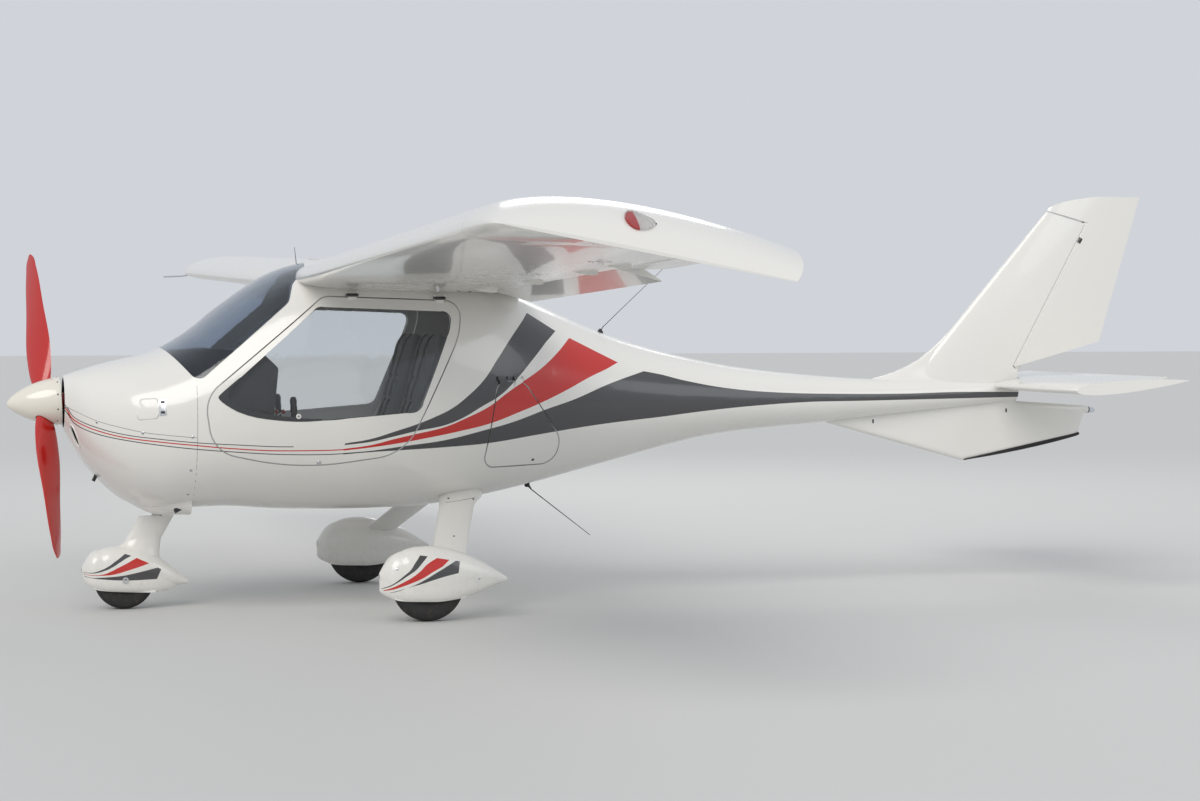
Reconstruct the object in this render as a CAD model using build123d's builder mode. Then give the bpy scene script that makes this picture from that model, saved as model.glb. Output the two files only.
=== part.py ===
from build123d import *
import os
from math import atan2, cos, radians, sin, tan

# Two-seat high-wing ultralight aircraft, millimetres. The nose points to -X, the left
# wing to -Y and +Z is up. Z = 0 is the ground under the tyres. Lengths along the body
# are stations, measured back from the spinner's tip.

LENGTH = 6220
HALF_SPAN = 4655


def at(station):
    """Model X of a station behind the spinner's tip."""
    return station - LENGTH / 2


# Body shell
CABIN_WALL = 25
COWL_WALL = 12
GLASS = 5
FITTING_GAP = 14
RUNNING_GAP = 6
PIN_GAP = 0.3
COWL_JOINT = 876
FIREWALL_AFT = 935
CABIN_AFT = 2780
BULKHEAD = 12
BULKHEAD_HOLE_R = 160
TAIL_CAVITY_END = 5280
TAIL_END = 5457

# station, bottom, top, half width, widest height, lower fullness, upper fullness
BODY_SECTIONS = [
    (275, 905, 1177, 142, 1042, 0.56, 0.56),
    (340, 786, 1199, 268, 1018, 0.58, 0.58),
    (430, 668, 1227, 372, 985, 0.60, 0.60),
    (550, 560, 1257, 462, 965, 0.62, 0.62),
    (700, 502, 1293, 532, 965, 0.64, 0.64),
    (876, 508, 1388, 585, 985, 0.66, 0.64),
    (1059, 513, 1532, 617, 1005, 0.66, 0.66),
    (1315, 495, 1697, 636, 1030, 0.66, 0.72),
    (1550, 488, 1762, 640, 1045, 0.66, 0.76),
    (1850, 488, 1775, 636, 1055, 0.66, 0.76),
    (2143, 503, 1740, 610, 1060, 0.65, 0.74),
    (2410, 545, 1668, 555, 1060, 0.63, 0.70),
    (2682, 603, 1550, 470, 1055, 0.61, 0.64),
    (3064, 698, 1388, 352, 1045, 0.58, 0.58),
    (3621, 830, 1237, 228, 1030, 0.56, 0.56),
    (4336, 902, 1148, 142, 1028, 0.56, 0.56),
    (5457, 1004, 1122, 58, 1060, 0.56, 0.56),
]

# Air outlet under the lower cowl: station, bottom, top, half width, widest height
OUTLET_SECTIONS = [
    (575, 545, 640, 90, 600, 0.60, 0.60),
    (690, 486, 640, 225, 570, 0.70, 0.60),
    (COWL_JOINT, 475, 640, 328, 560, 0.80, 0.60),
]

# Outlines seen from the side: station, height, corner radius
DOOR_OUTLINE = [
    (1499, 1575, 90), (2200, 1552, 78), (2178, 1381, 420), (1892, 789, 250),
    (1370, 719, 1350), (947, 812, 165), (907, 1079, 165),
]
WINDOW_OUTLINE = [
    (1469, 1519, 50), (2142, 1495, 40), (2124, 1406, 250), (1963, 1001, 60),
    (1322, 950, 1150), (962, 1069, 55),
]
HATCH_OUTLINE = [
    (2372, 1152, 60), (2520, 1150, 90), (2742, 850, 120), (2722, 716, 90),
    (2306, 706, 60),
]
SHIELD_OUTLINE = [
    (600, 1500, 0), (884, 1150, 48), (1334, 1541, 60), (1366, 1632, 70),
    (1500, 1775, 0), (1500, 1950, 0), (600, 1950, 0),
]
COWL_OUTLINE = [
    (200, 350, 0), (COWL_JOINT, 350, 0), (COWL_JOINT, 1105, 60), (590, 1465, 0),
    (200, 1465, 0),
]
CAVITY_OUTLINE = [
    (FIREWALL_AFT, 350, 0), (CABIN_AFT, 350, 0), (CABIN_AFT, 1950, 0),
    (742, 1950, 0), (742, 1318, 0), (FIREWALL_AFT, 1110, 0),
]
# Upper edge of the lower cowl
COWL_SPLIT = [(200, 1068), (415, 962), (636, 908), (COWL_JOINT, 884)]

# Doors and hatches
DOOR_HINGES = (1640, 2085)
HATCH_HINGES = (2402, 2490)
HINGE_LIFT = 7
HINGE_OUT = 7
HINGE_R = 4
HINGE_LENGTH = 44
HINGE_EAR = 8
HINGE_LEAF = 26
HINGE_FOOT = 28

# Wing
WING_ROOT_Y = 90
WING_LE_ROOT = 1390
WING_LE_TIP = 1370
WING_TE_ROOT = 2588
WING_TE_TIP = 2548
WING_ROOT_HEIGHT = 1649
DIHEDRAL = 1.7
INCIDENCE = 3.0
WING_STRAIGHT = 4225
FLAP_CHORD = 200
FLAP_INNER = 470
FLAP_OUTER = 2785
AILERON_OUTER = 4215
FLAP_AT_REST = 15
HINGE_ABOVE_CHORD = 20
SURFACE_NOSE_R = 32
EDGE = 3
UPPER_NOSE = 0.115
UPPER_CROWN = 0.177
LOWER_NOSE = 0.055
LOWER_CROWN = 0.04

# Threaded holes for tie-down rings under the wings: station, distance out, radius, depth
TIE_DOWN = (1760, 2860, 4, 25)

# Wing tip: distance out, leading edge, trailing edge, their heights, thickness share
TIP_SECTIONS = [
    (4400, 1373, 2538, 1778, 1700, 0.92),
    (4530, 1380, 2518, 1780, 1664, 0.68),
    (4615, 1394, 2488, 1778, 1622, 0.36),
    (HALF_SPAN, 1416, 2455, 1774, 1586, 0.08),
]

# Fin and rudder
FIN_ROOT = 1080
FIN_TOP = 2144
FIN_LE_ROOT = 4790
FIN_LE_TOP = 5722
FIN_TE_ROOT = 5896
FIN_TE_TOP = 6220
FIN_THICKNESS = 0.09
RUDDER_HINGE = ((5444, 1196), (5891, 1997))
RUDDER_NOSE_R = (40, 23)
# station, height, corner radius, out past the surfaces on three sides
RUDDER_OUTLINE = [
    (5444, 1196, 0), (5891, 1997, 0), (5560, 2087, 0), (5560, 2250, 0),
    (6400, 2250, 0), (6400, 1445, 0),
]
BELOW_RUDDER = [(TAIL_END, 900, 0), (TAIL_END, 1220, 0), (6400, 1500, 0), (6400, 900, 0)]
HORN_GAP = 10
SURFACE_PIN_R = 5
SURFACE_PIN = 5
TAB_PIN_R = 3
VENTRAL_OUTLINE = [
    (4300, 960, 0), (4336, 899, 0), (5145, 678, 60), (5837, 807, 50),
    (5898, 975, 20), (5470, 1004, 0), (5400, 1060, 0),
]
VENTRAL_HALF = 21
SKID_DEPTH = 14

# Stabilator
STAB_LE = 5300
STAB_TE = 5940
STAB_HALF_SPAN = 1085
STAB_LE_HEIGHT = 1088
STAB_TE_HEIGHT = 1140
STAB_THICKNESS = 0.10
STAB_NOTCH = 82
STAB_PIVOT = 5418
STAB_TUBE_R = 15
TAB_CHORD = 88
TAB_OUTER = 850
TAB_NOSE_R = 10
TAB_AT_REST = -8

# Propeller and spinner
THRUST_TILT = 3
SPINNER_TIP_HEIGHT = 1037
SPINNER_LENGTH = 262
SPINNER_R = 120
SPINNER_WALL = 3
HUB_STATION = 178
HUB_R = 58
HUB_LENGTH = 84
BLADE_TURN = 30
SHAFT_R = 40
SHAFT_DEPTH = 30
BLADE_SLOT = 4
# radius out, chord, thickness, pitch
BLADE_SECTIONS = [
    (50, 62, 54, 62), (115, 104, 40, 58), (270, 150, 24, 49), (540, 134, 14, 37),
    (760, 96, 9, 31), (835, 58, 6, 29), (858, 18, 4, 29),
]

# Wheels
MAIN_AXLE = 1939
TRACK = 1850
MAIN_TYRE_R = 175
MAIN_RIM_R = 76
NOSE_AXLE = 571
NOSE_TYRE_R = 150
NOSE_RIM_R = 56
TYRE_WIDTH = 102
RIM_WIDTH = 84
HUB_R_WHEEL = 24
AXLE_R = 10
AXLE_CLEARANCE = 0.3
NOSE_AXLE_HALF = 84
COLLAR_R = 16
TOW_BORE_R = 6

# Wheel fairings: station, bottom, top, half width, widest height, fullness twice
MAIN_SPAT = [
    (1700, 205, 238, 12, 222, 0.55, 0.55),
    (1735, 146, 296, 52, 222, 0.58, 0.58),
    (1815, 104, 345, 78, 222, 0.62, 0.60),
    (1939, 96, 364, 87, 224, 0.62, 0.60),
    (2080, 112, 338, 79, 222, 0.60, 0.58),
    (2210, 146, 280, 50, 212, 0.58, 0.56),
    (2329, 183, 205, 10, 194, 0.55, 0.55),
]
NOSE_SPAT = [
    (388, 186, 216, 16, 200, 0.58, 0.58),
    (416, 132, 272, 58, 200, 0.64, 0.62),
    (480, 96, 306, 78, 198, 0.66, 0.62),
    (571, 87, 317, 83, 196, 0.66, 0.62),
    (690, 94, 296, 72, 190, 0.60, 0.58),
    (800, 108, 216, 44, 158, 0.58, 0.56),
    (889, 119, 137, 10, 128, 0.55, 0.55),
]
SPAT_WALL = 4
WELL_HALF = 58
# half length and height of the opening under each fairing
MAIN_WELL = (178, 165)
NOSE_WELL = (162, 150)

# Legs
LEG_ROOT = (2198, 300, 566)
LEG_FOOT = (2052, 868, 304)
LEG_ROOT_SIZE = (206, 48)
LEG_FOOT_SIZE = (170, 30)
LEG_PLATE = 12
CUFF = 12
CUFF_SHARE = 0.30
NOSE_LEG_TOP = (741, 480)
NOSE_LEG_FOOT = (637, 298)
NOSE_LEG_CHORD = 150
NOSE_LEG_WIDTH = 56
NOSE_LEG_GAP = 8
STRUT_R = 24
STRUT_GAP = 8
SLEEVE_WALL = 10
SLEEVE_FROM = 280
SLEEVE_LENGTH = 110
BRACKET_WIDTH = 50
BRACKET_HEIGHT = 100

# Engine and cabin
ENGINE_FRONT = 440
ENGINE_BACK = 830
ENGINE_HALF = 275
ENGINE_BOTTOM = 760
ENGINE_TOP = 1075
SUMP_CHAMFER = 80
GEARBOX_R = 82
GEARBOX_FRONT = 318
MOUNT_R = 13
SEAT_FRONT = 1480
SEAT_BACK = 1960
SEAT_Y = 285
SEAT_WIDTH = 470
PAN_TOP = 672
PANEL_OUTLINE = [
    (FIREWALL_AFT, 980, 0), (FIREWALL_AFT, 1110, 0), (760, 1299, 0), (1000, 1312, 60),
    (1200, 1290, 30), (1270, 1220, 30), (1240, 950, 20), (1170, 930, 20),
]
SEAT_OUTLINE = [
    (1485, PAN_TOP, 0), (1485, 770, 30), (1540, 800, 60), (1895, 740, 70), (2085, 1395, 35),
    (2165, 1415, 28), (2000, 760, 200), (2000, PAN_TOP, 0),
]
CONSOLE_OUTLINE = [
    (1180, 400, 0), (1180, 945, 0), (1262, 930, 0), (1420, 700, 60), (1480, 700, 0), (1480, 400, 0),
]
CONSOLE_HALF = 40
NOSTRIL = (24, 52)
NOSTRIL_OUT = 168
NOSTRIL_HEIGHT = 882


def outline(rows, inset=0):
    """Closed outline in the side view from station, height and radius rows."""
    with BuildSketch(Plane.XZ) as shape:
        with BuildLine():
            points = [(at(station), height) for station, height, _ in rows]
            FilletPolyline(*points, radius=[row[2] for row in rows], close=True)
        make_face()
        if inset:
            offset(amount=-inset, mode=Mode.REPLACE)
    return shape.sketch


def prism(rows, near, far, inset=0):
    """The outline carried across the body from Y = near to Y = far."""
    with BuildPart() as block:
        face = outline(rows, inset).moved(Location((0, near, 0)))
        extrude(face, amount=far - near, dir=(0, 1, 0))
    return block.part


def quarter_curves(row, wall, centre):
    """Control points of a section's four quarters, from the keel round and back."""
    station, bottom, top, half, waist, low_full, high_full = row
    half = half - wall
    keel = bottom + wall
    crown = top - wall
    quarters = []
    for side, end, fullness, rising in (
        (1, keel, low_full, True), (1, crown, high_full, False),
        (-1, crown, high_full, True), (-1, keel, low_full, False),
    ):
        shoulder = waist + (end - waist) * fullness
        points = [
            Vector(at(station), centre, end), Vector(at(station), centre + side * half * fullness, end),
            Vector(at(station), centre + side * half, shoulder), Vector(at(station), centre + side * half, waist),
        ]
        quarters.append(points if rising else points[::-1])
    return quarters


def slope_at(curves, places, index, strip, point):
    """How a control point moves along the form, weighted towards the nearer section."""
    here = curves[index][strip][point]
    slopes = []
    for other in (index - 1, index + 1):
        if 0 <= other < len(curves):
            gap = places[other] - places[index]
            slopes.append(((curves[other][strip][point] - here) / gap, abs(gap)))
    if len(slopes) == 1:
        return slopes[0][0]
    (before, gap_before), (after, gap_after) = slopes
    return (before * gap_after + after * gap_before) / (gap_before + gap_after)


def skinned(curves, places):
    """A smooth closed form through sections, each of the same number of cubic curves.

    Each strip of each bay is one patch whose inner control points follow the slopes at
    its ends, so the skin runs smoothly from bay to bay. Places are distances along it.
    """
    faces = []
    for index in range(len(curves) - 1):
        third = (places[index + 1] - places[index]) / 3
        for strip in range(len(curves[0])):
            grid = [[], [], [], []]
            for point in range(4):
                start = curves[index][strip][point]
                end = curves[index + 1][strip][point]
                grid[0].append(start)
                grid[1].append(start + slope_at(curves, places, index, strip, point) * third)
                grid[2].append(end - slope_at(curves, places, index + 1, strip, point) * third)
                grid[3].append(end)
            faces.append(Face.make_bezier_surface(grid))
    for section in (curves[0], curves[-1]):
        faces.append(Face(Wire([Edge.make_bezier(*points) for points in section])))
    return Solid(Shell(faces))


def hull(rows, wall=0, centre=0):
    """A form like a boat's hull through the section rows, wall inside the outer skin."""
    kept = [row for row in rows if row[3] > wall * 1.5]
    return skinned([quarter_curves(row, wall, centre) for row in kept], [row[0] for row in kept])


def half_width_at(form, station, height):
    """How far out the form's skin lies at a station and height."""
    probe = Edge.make_line((at(station), 0, height), (at(station), 2000, height))
    inside = form.intersect(probe)
    return max(edge.bounding_box().max.Y for edge in inside.edges())


def underside_at(form, station, out):
    """The height of the form's underside at a station, this far out on the left."""
    probe = Edge.make_line((at(station), -out, 0), (at(station), -out, 2500))
    return form.intersect(probe).edges().sort_by(Axis.Z)[0].bounding_box().min.Z


def block(low, high):
    """A plain box between two corners given as station, Y, height."""
    with BuildPart() as box:
        size = [abs(b - a) for a, b in zip(low, high)]
        with Locations((at((low[0] + high[0]) / 2), (low[1] + high[1]) / 2, (low[2] + high[2]) / 2)):
            Box(*size)
    return box.part


def rod(start, end, radius, end_radius=None):
    """A round bar between two points given as station, Y, height."""
    a = Vector(at(start[0]), start[1], start[2])
    b = Vector(at(end[0]), end[1], end[2])
    plane = Plane(origin=a, z_dir=b - a)
    with BuildPart() as bar:
        with BuildSketch(plane):
            Circle(radius)
        if end_radius is None:
            extrude(amount=(b - a).length)
        else:
            with BuildSketch(plane.offset((b - a).length)):
                Circle(end_radius)
            loft()
    return bar.part


def mirrored(part):
    """The right-hand copy of a left-hand piece."""
    return part.mirror(Plane.XZ)


outer = hull(BODY_SECTIONS)
inner = hull(BODY_SECTIONS, CABIN_WALL)
lining = hull(BODY_SECTIONS, CABIN_WALL + FITTING_GAP)
pane_inner = hull(BODY_SECTIONS, GLASS)

# Fuselage: a shell with its firewall, split from the cowls at the cowl joint
body_zone = prism(COWL_OUTLINE, -900, 900)
cavity_zone = prism(CAVITY_OUTLINE, -900, 900)
door_zone = prism(DOOR_OUTLINE, -900, -200)
hatch_zone = prism(HATCH_OUTLINE, -900, -200)
shield_zone = prism(SHIELD_OUTLINE, -900, 900)
tail_cavity = block((CABIN_AFT + BULKHEAD, -900, 300), (TAIL_CAVITY_END, 900, 1900))

with BuildPart() as cabin_space:
    add(inner)
    add(cavity_zone, mode=Mode.INTERSECT)

with BuildPart() as tail_space:
    add(inner)
    add(tail_cavity, mode=Mode.INTERSECT)
    add(rod((CABIN_AFT - 1, 0, 1060), (CABIN_AFT + BULKHEAD + 1, 0, 1060), BULKHEAD_HOLE_R))


def hinge_points(form, stations, rows):
    """Points on a hinge axis just above an outline's top edge, on the left side."""
    (x0, z0, _), (x1, z1, _) = rows[:2]
    points = []
    for station in stations:
        edge = z0 + (z1 - z0) * (station - x0) / (x1 - x0)
        out = half_width_at(form, station, edge) + HINGE_OUT
        points.append(Vector(at(station), -out, edge + HINGE_LIFT))
    return points


def hinge_frames(points, shift=0):
    """A plane across the hinge axis at each point, its x upwards."""
    along = (points[1] - points[0]).normalized()
    return [Plane(origin=point + along * shift, x_dir=(0, 0, 1), z_dir=along) for point in points]


def hinge_leaves(points):
    """Pins with a leaf down over the lid's top edge."""
    with BuildPart() as leaves:
        for frame in hinge_frames(points, -HINGE_LENGTH / 2):
            with BuildSketch(frame):
                Circle(HINGE_R)
                with Locations((-HINGE_LEAF / 2, 0)):
                    Rectangle(HINGE_LEAF, 2 * HINGE_R)
            extrude(amount=HINGE_LENGTH)
    return leaves.part


def hinge_feet(points, rows):
    """Feet that carry the leaves, kept within the lid's own outline."""
    with BuildPart() as feet:
        for frame in hinge_frames(points, -HINGE_LENGTH / 2):
            with BuildSketch(frame):
                with Locations((-HINGE_LEAF, -HINGE_FOOT / 2)):
                    Rectangle(2 * (HINGE_LEAF - HINGE_LIFT - RUNNING_GAP - 1), HINGE_FOOT)
            extrude(amount=HINGE_LENGTH)
        add(prism(rows, -900, -200, RUNNING_GAP), mode=Mode.INTERSECT)
    return feet.part


def hinge_ears(points):
    """Ears either side of each pin, let into the skin above the lid."""
    with BuildPart() as ears:
        for side in (-1, 1):
            shift = side * (HINGE_LENGTH / 2 + PIN_GAP)
            for frame in hinge_frames(points, shift):
                with BuildSketch(frame):
                    Circle(HINGE_LIFT + 1)
                    with Locations((HINGE_LIFT, -HINGE_LIFT - 3)):
                        Rectangle(2 * HINGE_LIFT, 2 * HINGE_LIFT + 6)
                extrude(amount=side * HINGE_EAR)
    return ears.part


door_points = hinge_points(outer, DOOR_HINGES, DOOR_OUTLINE)
hatch_points = hinge_points(outer, HATCH_HINGES, HATCH_OUTLINE)
pivot = Vector(at(STAB_PIVOT), 0, STAB_LE_HEIGHT + (STAB_PIVOT - STAB_LE)
               * (STAB_TE_HEIGHT - STAB_LE_HEIGHT) / (STAB_TE - STAB_LE))

pivot_bore = rod((STAB_PIVOT, -200, pivot.Z), (STAB_PIVOT, 200, pivot.Z), STAB_TUBE_R + PIN_GAP)
left_ears = hinge_ears(door_points) + hinge_ears(hatch_points)

with BuildPart() as fuselage:
    add(outer)
    add(body_zone, mode=Mode.SUBTRACT)
    add(cabin_space.part, mode=Mode.SUBTRACT)
    add(tail_space.part, mode=Mode.SUBTRACT)
    add(shield_zone, mode=Mode.SUBTRACT)
    for lid_zone in (door_zone, hatch_zone):
        add(lid_zone, mode=Mode.SUBTRACT)
        add(mirrored(lid_zone), mode=Mode.SUBTRACT)
    add(left_ears)
    add(mirrored(left_ears))
    add(pivot_bore, mode=Mode.SUBTRACT)

with BuildPart() as windshield:
    add(outer)
    add(shield_zone, mode=Mode.INTERSECT)
    add(pane_inner, mode=Mode.SUBTRACT)


def lid(rows, points, window=None):
    """A piece of the skin with a running gap all round and its hinge pins."""
    with BuildPart() as panel:
        add(outer)
        add(prism(rows, -900, -200, RUNNING_GAP), mode=Mode.INTERSECT)
        add(inner, mode=Mode.SUBTRACT)
        add(hinge_leaves(points))
        add(hinge_feet(points, rows))
        if window:
            add(window, mode=Mode.SUBTRACT)
    return panel.part


window_zone = prism(WINDOW_OUTLINE, -900, -200)
with BuildPart() as door_left:
    add(lid(DOOR_OUTLINE, door_points, window_zone))

with BuildPart() as hatch_left:
    add(lid(HATCH_OUTLINE, hatch_points))

with BuildPart() as door_window_left:
    add(outer)
    add(window_zone, mode=Mode.INTERSECT)
    add(pane_inner, mode=Mode.SUBTRACT)

# Raked axis that the nose wheel is steered about
steer_top = Vector(at(NOSE_LEG_TOP[0]), 0, NOSE_LEG_TOP[1])
steer_foot = Vector(at(NOSE_LEG_FOOT[0]), 0, NOSE_LEG_FOOT[1])
steer = (steer_top - steer_foot).normalized()


def steer_plane(distance):
    """A plane across the steering axis, this far up from the leg's foot."""
    return Plane(origin=steer_foot + steer * distance, x_dir=(0, 1, 0), z_dir=steer)


# Cowls: a thin shell in two halves, with the air outlet under the lower one
cowl_inner = hull(BODY_SECTIONS, COWL_WALL)
outlet_outer = hull(OUTLET_SECTIONS)
outlet_inner = hull(OUTLET_SECTIONS, COWL_WALL)
split_rows = [(x, z, 0) for x, z in COWL_SPLIT]
upper_zone = prism(split_rows + [(COWL_JOINT, 1900, 0), (200, 1900, 0)], -900, 900)

with BuildPart() as cowl_upper:
    add(outer)
    add(body_zone, mode=Mode.INTERSECT)
    add(upper_zone, mode=Mode.INTERSECT)
    add(cowl_inner, mode=Mode.SUBTRACT)

with BuildPart() as cowl_lower:
    add(outer)
    add(body_zone, mode=Mode.INTERSECT)
    add(upper_zone, mode=Mode.SUBTRACT)
    add(outlet_outer)
    add(cowl_inner, mode=Mode.SUBTRACT)
    add(outlet_inner, mode=Mode.SUBTRACT)
    with BuildSketch(steer_plane(100)):
        Circle(STRUT_R + STRUT_GAP)
    extrude(amount=SLEEVE_FROM, mode=Mode.SUBTRACT)
    with BuildSketch(Plane.YZ.offset(at(240))):
        for side in (-1, 1):
            with Locations((side * NOSTRIL_OUT, NOSTRIL_HEIGHT)):
                Ellipse(NOSTRIL[0], NOSTRIL[1])
    extrude(amount=180, mode=Mode.SUBTRACT)


# Engine: one block with its gearbox and four mount tubes
thrust = Vector(cos(radians(THRUST_TILT)), 0, sin(radians(THRUST_TILT)))
spinner_tip = Vector(at(0), 0, SPINNER_TIP_HEIGHT)


def thrust_plane(distance):
    """A plane across the thrust line, this far behind the spinner's tip."""
    return Plane(origin=spinner_tip + thrust * distance, x_dir=(0, 1, 0), z_dir=thrust)


with BuildPart() as engine:
    add(block((ENGINE_FRONT, -ENGINE_HALF, ENGINE_BOTTOM), (ENGINE_BACK, ENGINE_HALF, ENGINE_TOP)))
    chamfer(engine.edges().filter_by(Axis.X).group_by(Axis.Z)[0], SUMP_CHAMFER)
    with BuildSketch(thrust_plane(GEARBOX_FRONT)):
        Circle(GEARBOX_R)
    extrude(amount=ENGINE_FRONT + 30 - GEARBOX_FRONT)
    with BuildSketch(thrust_plane(GEARBOX_FRONT)):
        Circle(SHAFT_R + PIN_GAP)
    extrude(amount=SHAFT_DEPTH, mode=Mode.SUBTRACT)
    for side in (-1, 1):
        for height in (ENGINE_BOTTOM + 60, ENGINE_TOP - 60):
            mount = side * (ENGINE_HALF - 60)
            add(rod((ENGINE_BACK - 5, mount, height), (COWL_JOINT, mount, height), MOUNT_R))

# Propeller: hub, shaft and two twisted blades; the lower blade leans to the left
turn = radians(BLADE_TURN)
disc_down = Vector(sin(radians(THRUST_TILT)), 0, -cos(radians(THRUST_TILT)))
blade_axis = disc_down * cos(turn) + Vector(0, -1, 0) * sin(turn)
hub_centre = spinner_tip + thrust * HUB_STATION


def blade_plane(radius, pitch, side):
    """A plane across a blade, its x along the chord towards the leading edge."""
    out = blade_axis * side
    moving = (thrust * -1).cross(out)
    chord = moving * cos(radians(pitch)) - thrust * sin(radians(pitch))
    return Plane(origin=hub_centre + out * radius, x_dir=chord, z_dir=out)


def blade_form(rows, side, grow=0):
    """The blade skinned through its sections, grown all round for its slot."""
    curves = []
    for radius, chord, thickness, pitch in rows:
        plane = blade_plane(radius, pitch, side)
        half = chord / 2 + grow
        bulge = (thickness / 2 + grow) * 4 / 3
        back = [(half, 0), (half, bulge), (-half * 0.55, bulge), (-half, 0)]
        face = [(-half, 0), (-half * 0.55, -bulge), (half, -bulge), (half, 0)]
        curves.append([[plane.from_local_coords(Vector(*point)) for point in line] for line in (back, face)])
    return skinned(curves, [row[0] for row in rows])


with BuildPart() as propeller:
    with BuildSketch(thrust_plane(HUB_STATION - HUB_LENGTH / 2)):
        Circle(HUB_R)
    extrude(amount=HUB_LENGTH)
    with BuildSketch(thrust_plane(HUB_STATION + HUB_LENGTH / 2)):
        Circle(SHAFT_R)
    extrude(amount=GEARBOX_FRONT + SHAFT_DEPTH - PIN_GAP - HUB_STATION - HUB_LENGTH / 2)
    for side in (1, -1):
        add(blade_form(BLADE_SECTIONS, side))


def spinner_form(wall):
    """The spinner's ogive, wall inside its skin."""
    plane = Plane(origin=spinner_tip, x_dir=thrust, z_dir=(0, -1, 0))
    length = SPINNER_LENGTH - wall
    radius = SPINNER_R - wall
    with BuildPart() as form:
        with BuildSketch(plane):
            with BuildLine():
                Bezier((wall, 0), (wall, radius * 0.30), (length * 0.52, radius * 0.98), (length, radius))
                Line((length, radius), (length, 0))
                Line((length, 0), (wall, 0))
            make_face()
        revolve(axis=Axis(spinner_tip, thrust))
    return form.part


with BuildPart() as spinner:
    add(spinner_form(0))
    add(spinner_form(SPINNER_WALL), mode=Mode.SUBTRACT)
    with BuildSketch(thrust_plane(SPINNER_LENGTH - 2 * SPINNER_WALL)):
        Circle(SHAFT_R)
    extrude(amount=3 * SPINNER_WALL, mode=Mode.SUBTRACT)
    for side in (1, -1):
        add(blade_form(BLADE_SECTIONS[:3], side, BLADE_SLOT), mode=Mode.SUBTRACT)


# Wing
def wing_row(out):
    """Leading edge, trailing edge and their heights this far out on the straight wing."""
    share = (out - WING_ROOT_Y) / (WING_STRAIGHT - WING_ROOT_Y)
    lead = WING_LE_ROOT + share * (WING_LE_TIP - WING_LE_ROOT)
    trail = WING_TE_ROOT + share * (WING_TE_TIP - WING_TE_ROOT)
    rise = WING_ROOT_HEIGHT + (out - WING_ROOT_Y) * tan(radians(DIHEDRAL))
    return lead, trail, rise, rise - (trail - lead) * tan(radians(INCIDENCE))


def wing_section(out, lead, trail, lead_height, trail_height, share=1.0):
    """The wing's profile, this far out on the left side."""
    start = Vector(at(lead), -out, lead_height)
    end = Vector(at(trail), -out, trail_height)
    chord = (end - start).length
    with BuildSketch(Plane(origin=start, x_dir=end - start, z_dir=(0, -1, 0))) as section:
        with BuildLine():
            Bezier((0, 0), (0, UPPER_NOSE * chord * share), (0.40 * chord, UPPER_CROWN * chord * share),
                   (chord, EDGE / 2))
            Line((chord, EDGE / 2), (chord, -EDGE / 2))
            Bezier((chord, -EDGE / 2), (0.30 * chord, -LOWER_CROWN * chord * share),
                   (0, -LOWER_NOSE * chord * share), (0, 0))
        make_face()
    return section.sketch


def hinge_plane(out, turned=0):
    """A plane at a wing surface's hinge, its x along the surface, turned down by an angle."""
    lead, trail, lead_height, trail_height = wing_row(out)
    slope = atan2(lead_height - trail_height, trail - lead)
    hinge = Vector(at(trail) - FLAP_CHORD * cos(slope) + HINGE_ABOVE_CHORD * sin(slope), -out,
                   trail_height + FLAP_CHORD * sin(slope) + HINGE_ABOVE_CHORD * cos(slope))
    angle = slope + radians(turned)
    return Plane(origin=hinge, x_dir=(cos(angle), 0, -sin(angle)), z_dir=(0, -1, 0))


def cove(inner_end, outer_end):
    """What is cut out of the wing for a surface: a round-nosed slot open to the rear."""
    radius = SURFACE_NOSE_R + RUNNING_GAP
    with BuildPart() as slot:
        for out in (inner_end, outer_end):
            with BuildSketch(hinge_plane(out)):
                Circle(radius)
                with Locations((FLAP_CHORD / 2 + 30, 0)):
                    Rectangle(FLAP_CHORD + 60, 2 * radius)
        loft(ruled=True)
    return slot.part


def surface_pins(inner_end, outer_end, grow=0):
    """A bar along a surface's hinge whose ends are its pins, or their bores when grown."""
    start = hinge_plane(inner_end - SURFACE_PIN - grow).origin
    end = hinge_plane(outer_end + SURFACE_PIN + grow).origin
    with BuildPart() as bar:
        with BuildSketch(Plane(origin=start, z_dir=end - start)):
            Circle(SURFACE_PIN_R + grow)
        extrude(amount=(end - start).length)
    return bar.part


def surface(inner_end, outer_end, turned=0):
    """A flap or aileron: a round nose about its hinge, tapering to its trailing edge."""
    nose = SURFACE_NOSE_R
    with BuildPart() as flap:
        for out in (inner_end + RUNNING_GAP, outer_end - RUNNING_GAP):
            with BuildSketch(hinge_plane(out, turned)):
                with BuildLine():
                    ThreePointArc((0, nose), (-nose, 0), (0, -nose))
                    Line((0, -nose), (FLAP_CHORD, -HINGE_ABOVE_CHORD - EDGE / 2))
                    Line((FLAP_CHORD, -HINGE_ABOVE_CHORD - EDGE / 2), (FLAP_CHORD, -HINGE_ABOVE_CHORD + EDGE / 2))
                    Line((FLAP_CHORD, -HINGE_ABOVE_CHORD + EDGE / 2), (0, nose))
                make_face()
        loft(ruled=True)
        add(surface_pins(inner_end, outer_end))
    return flap.part


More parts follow.
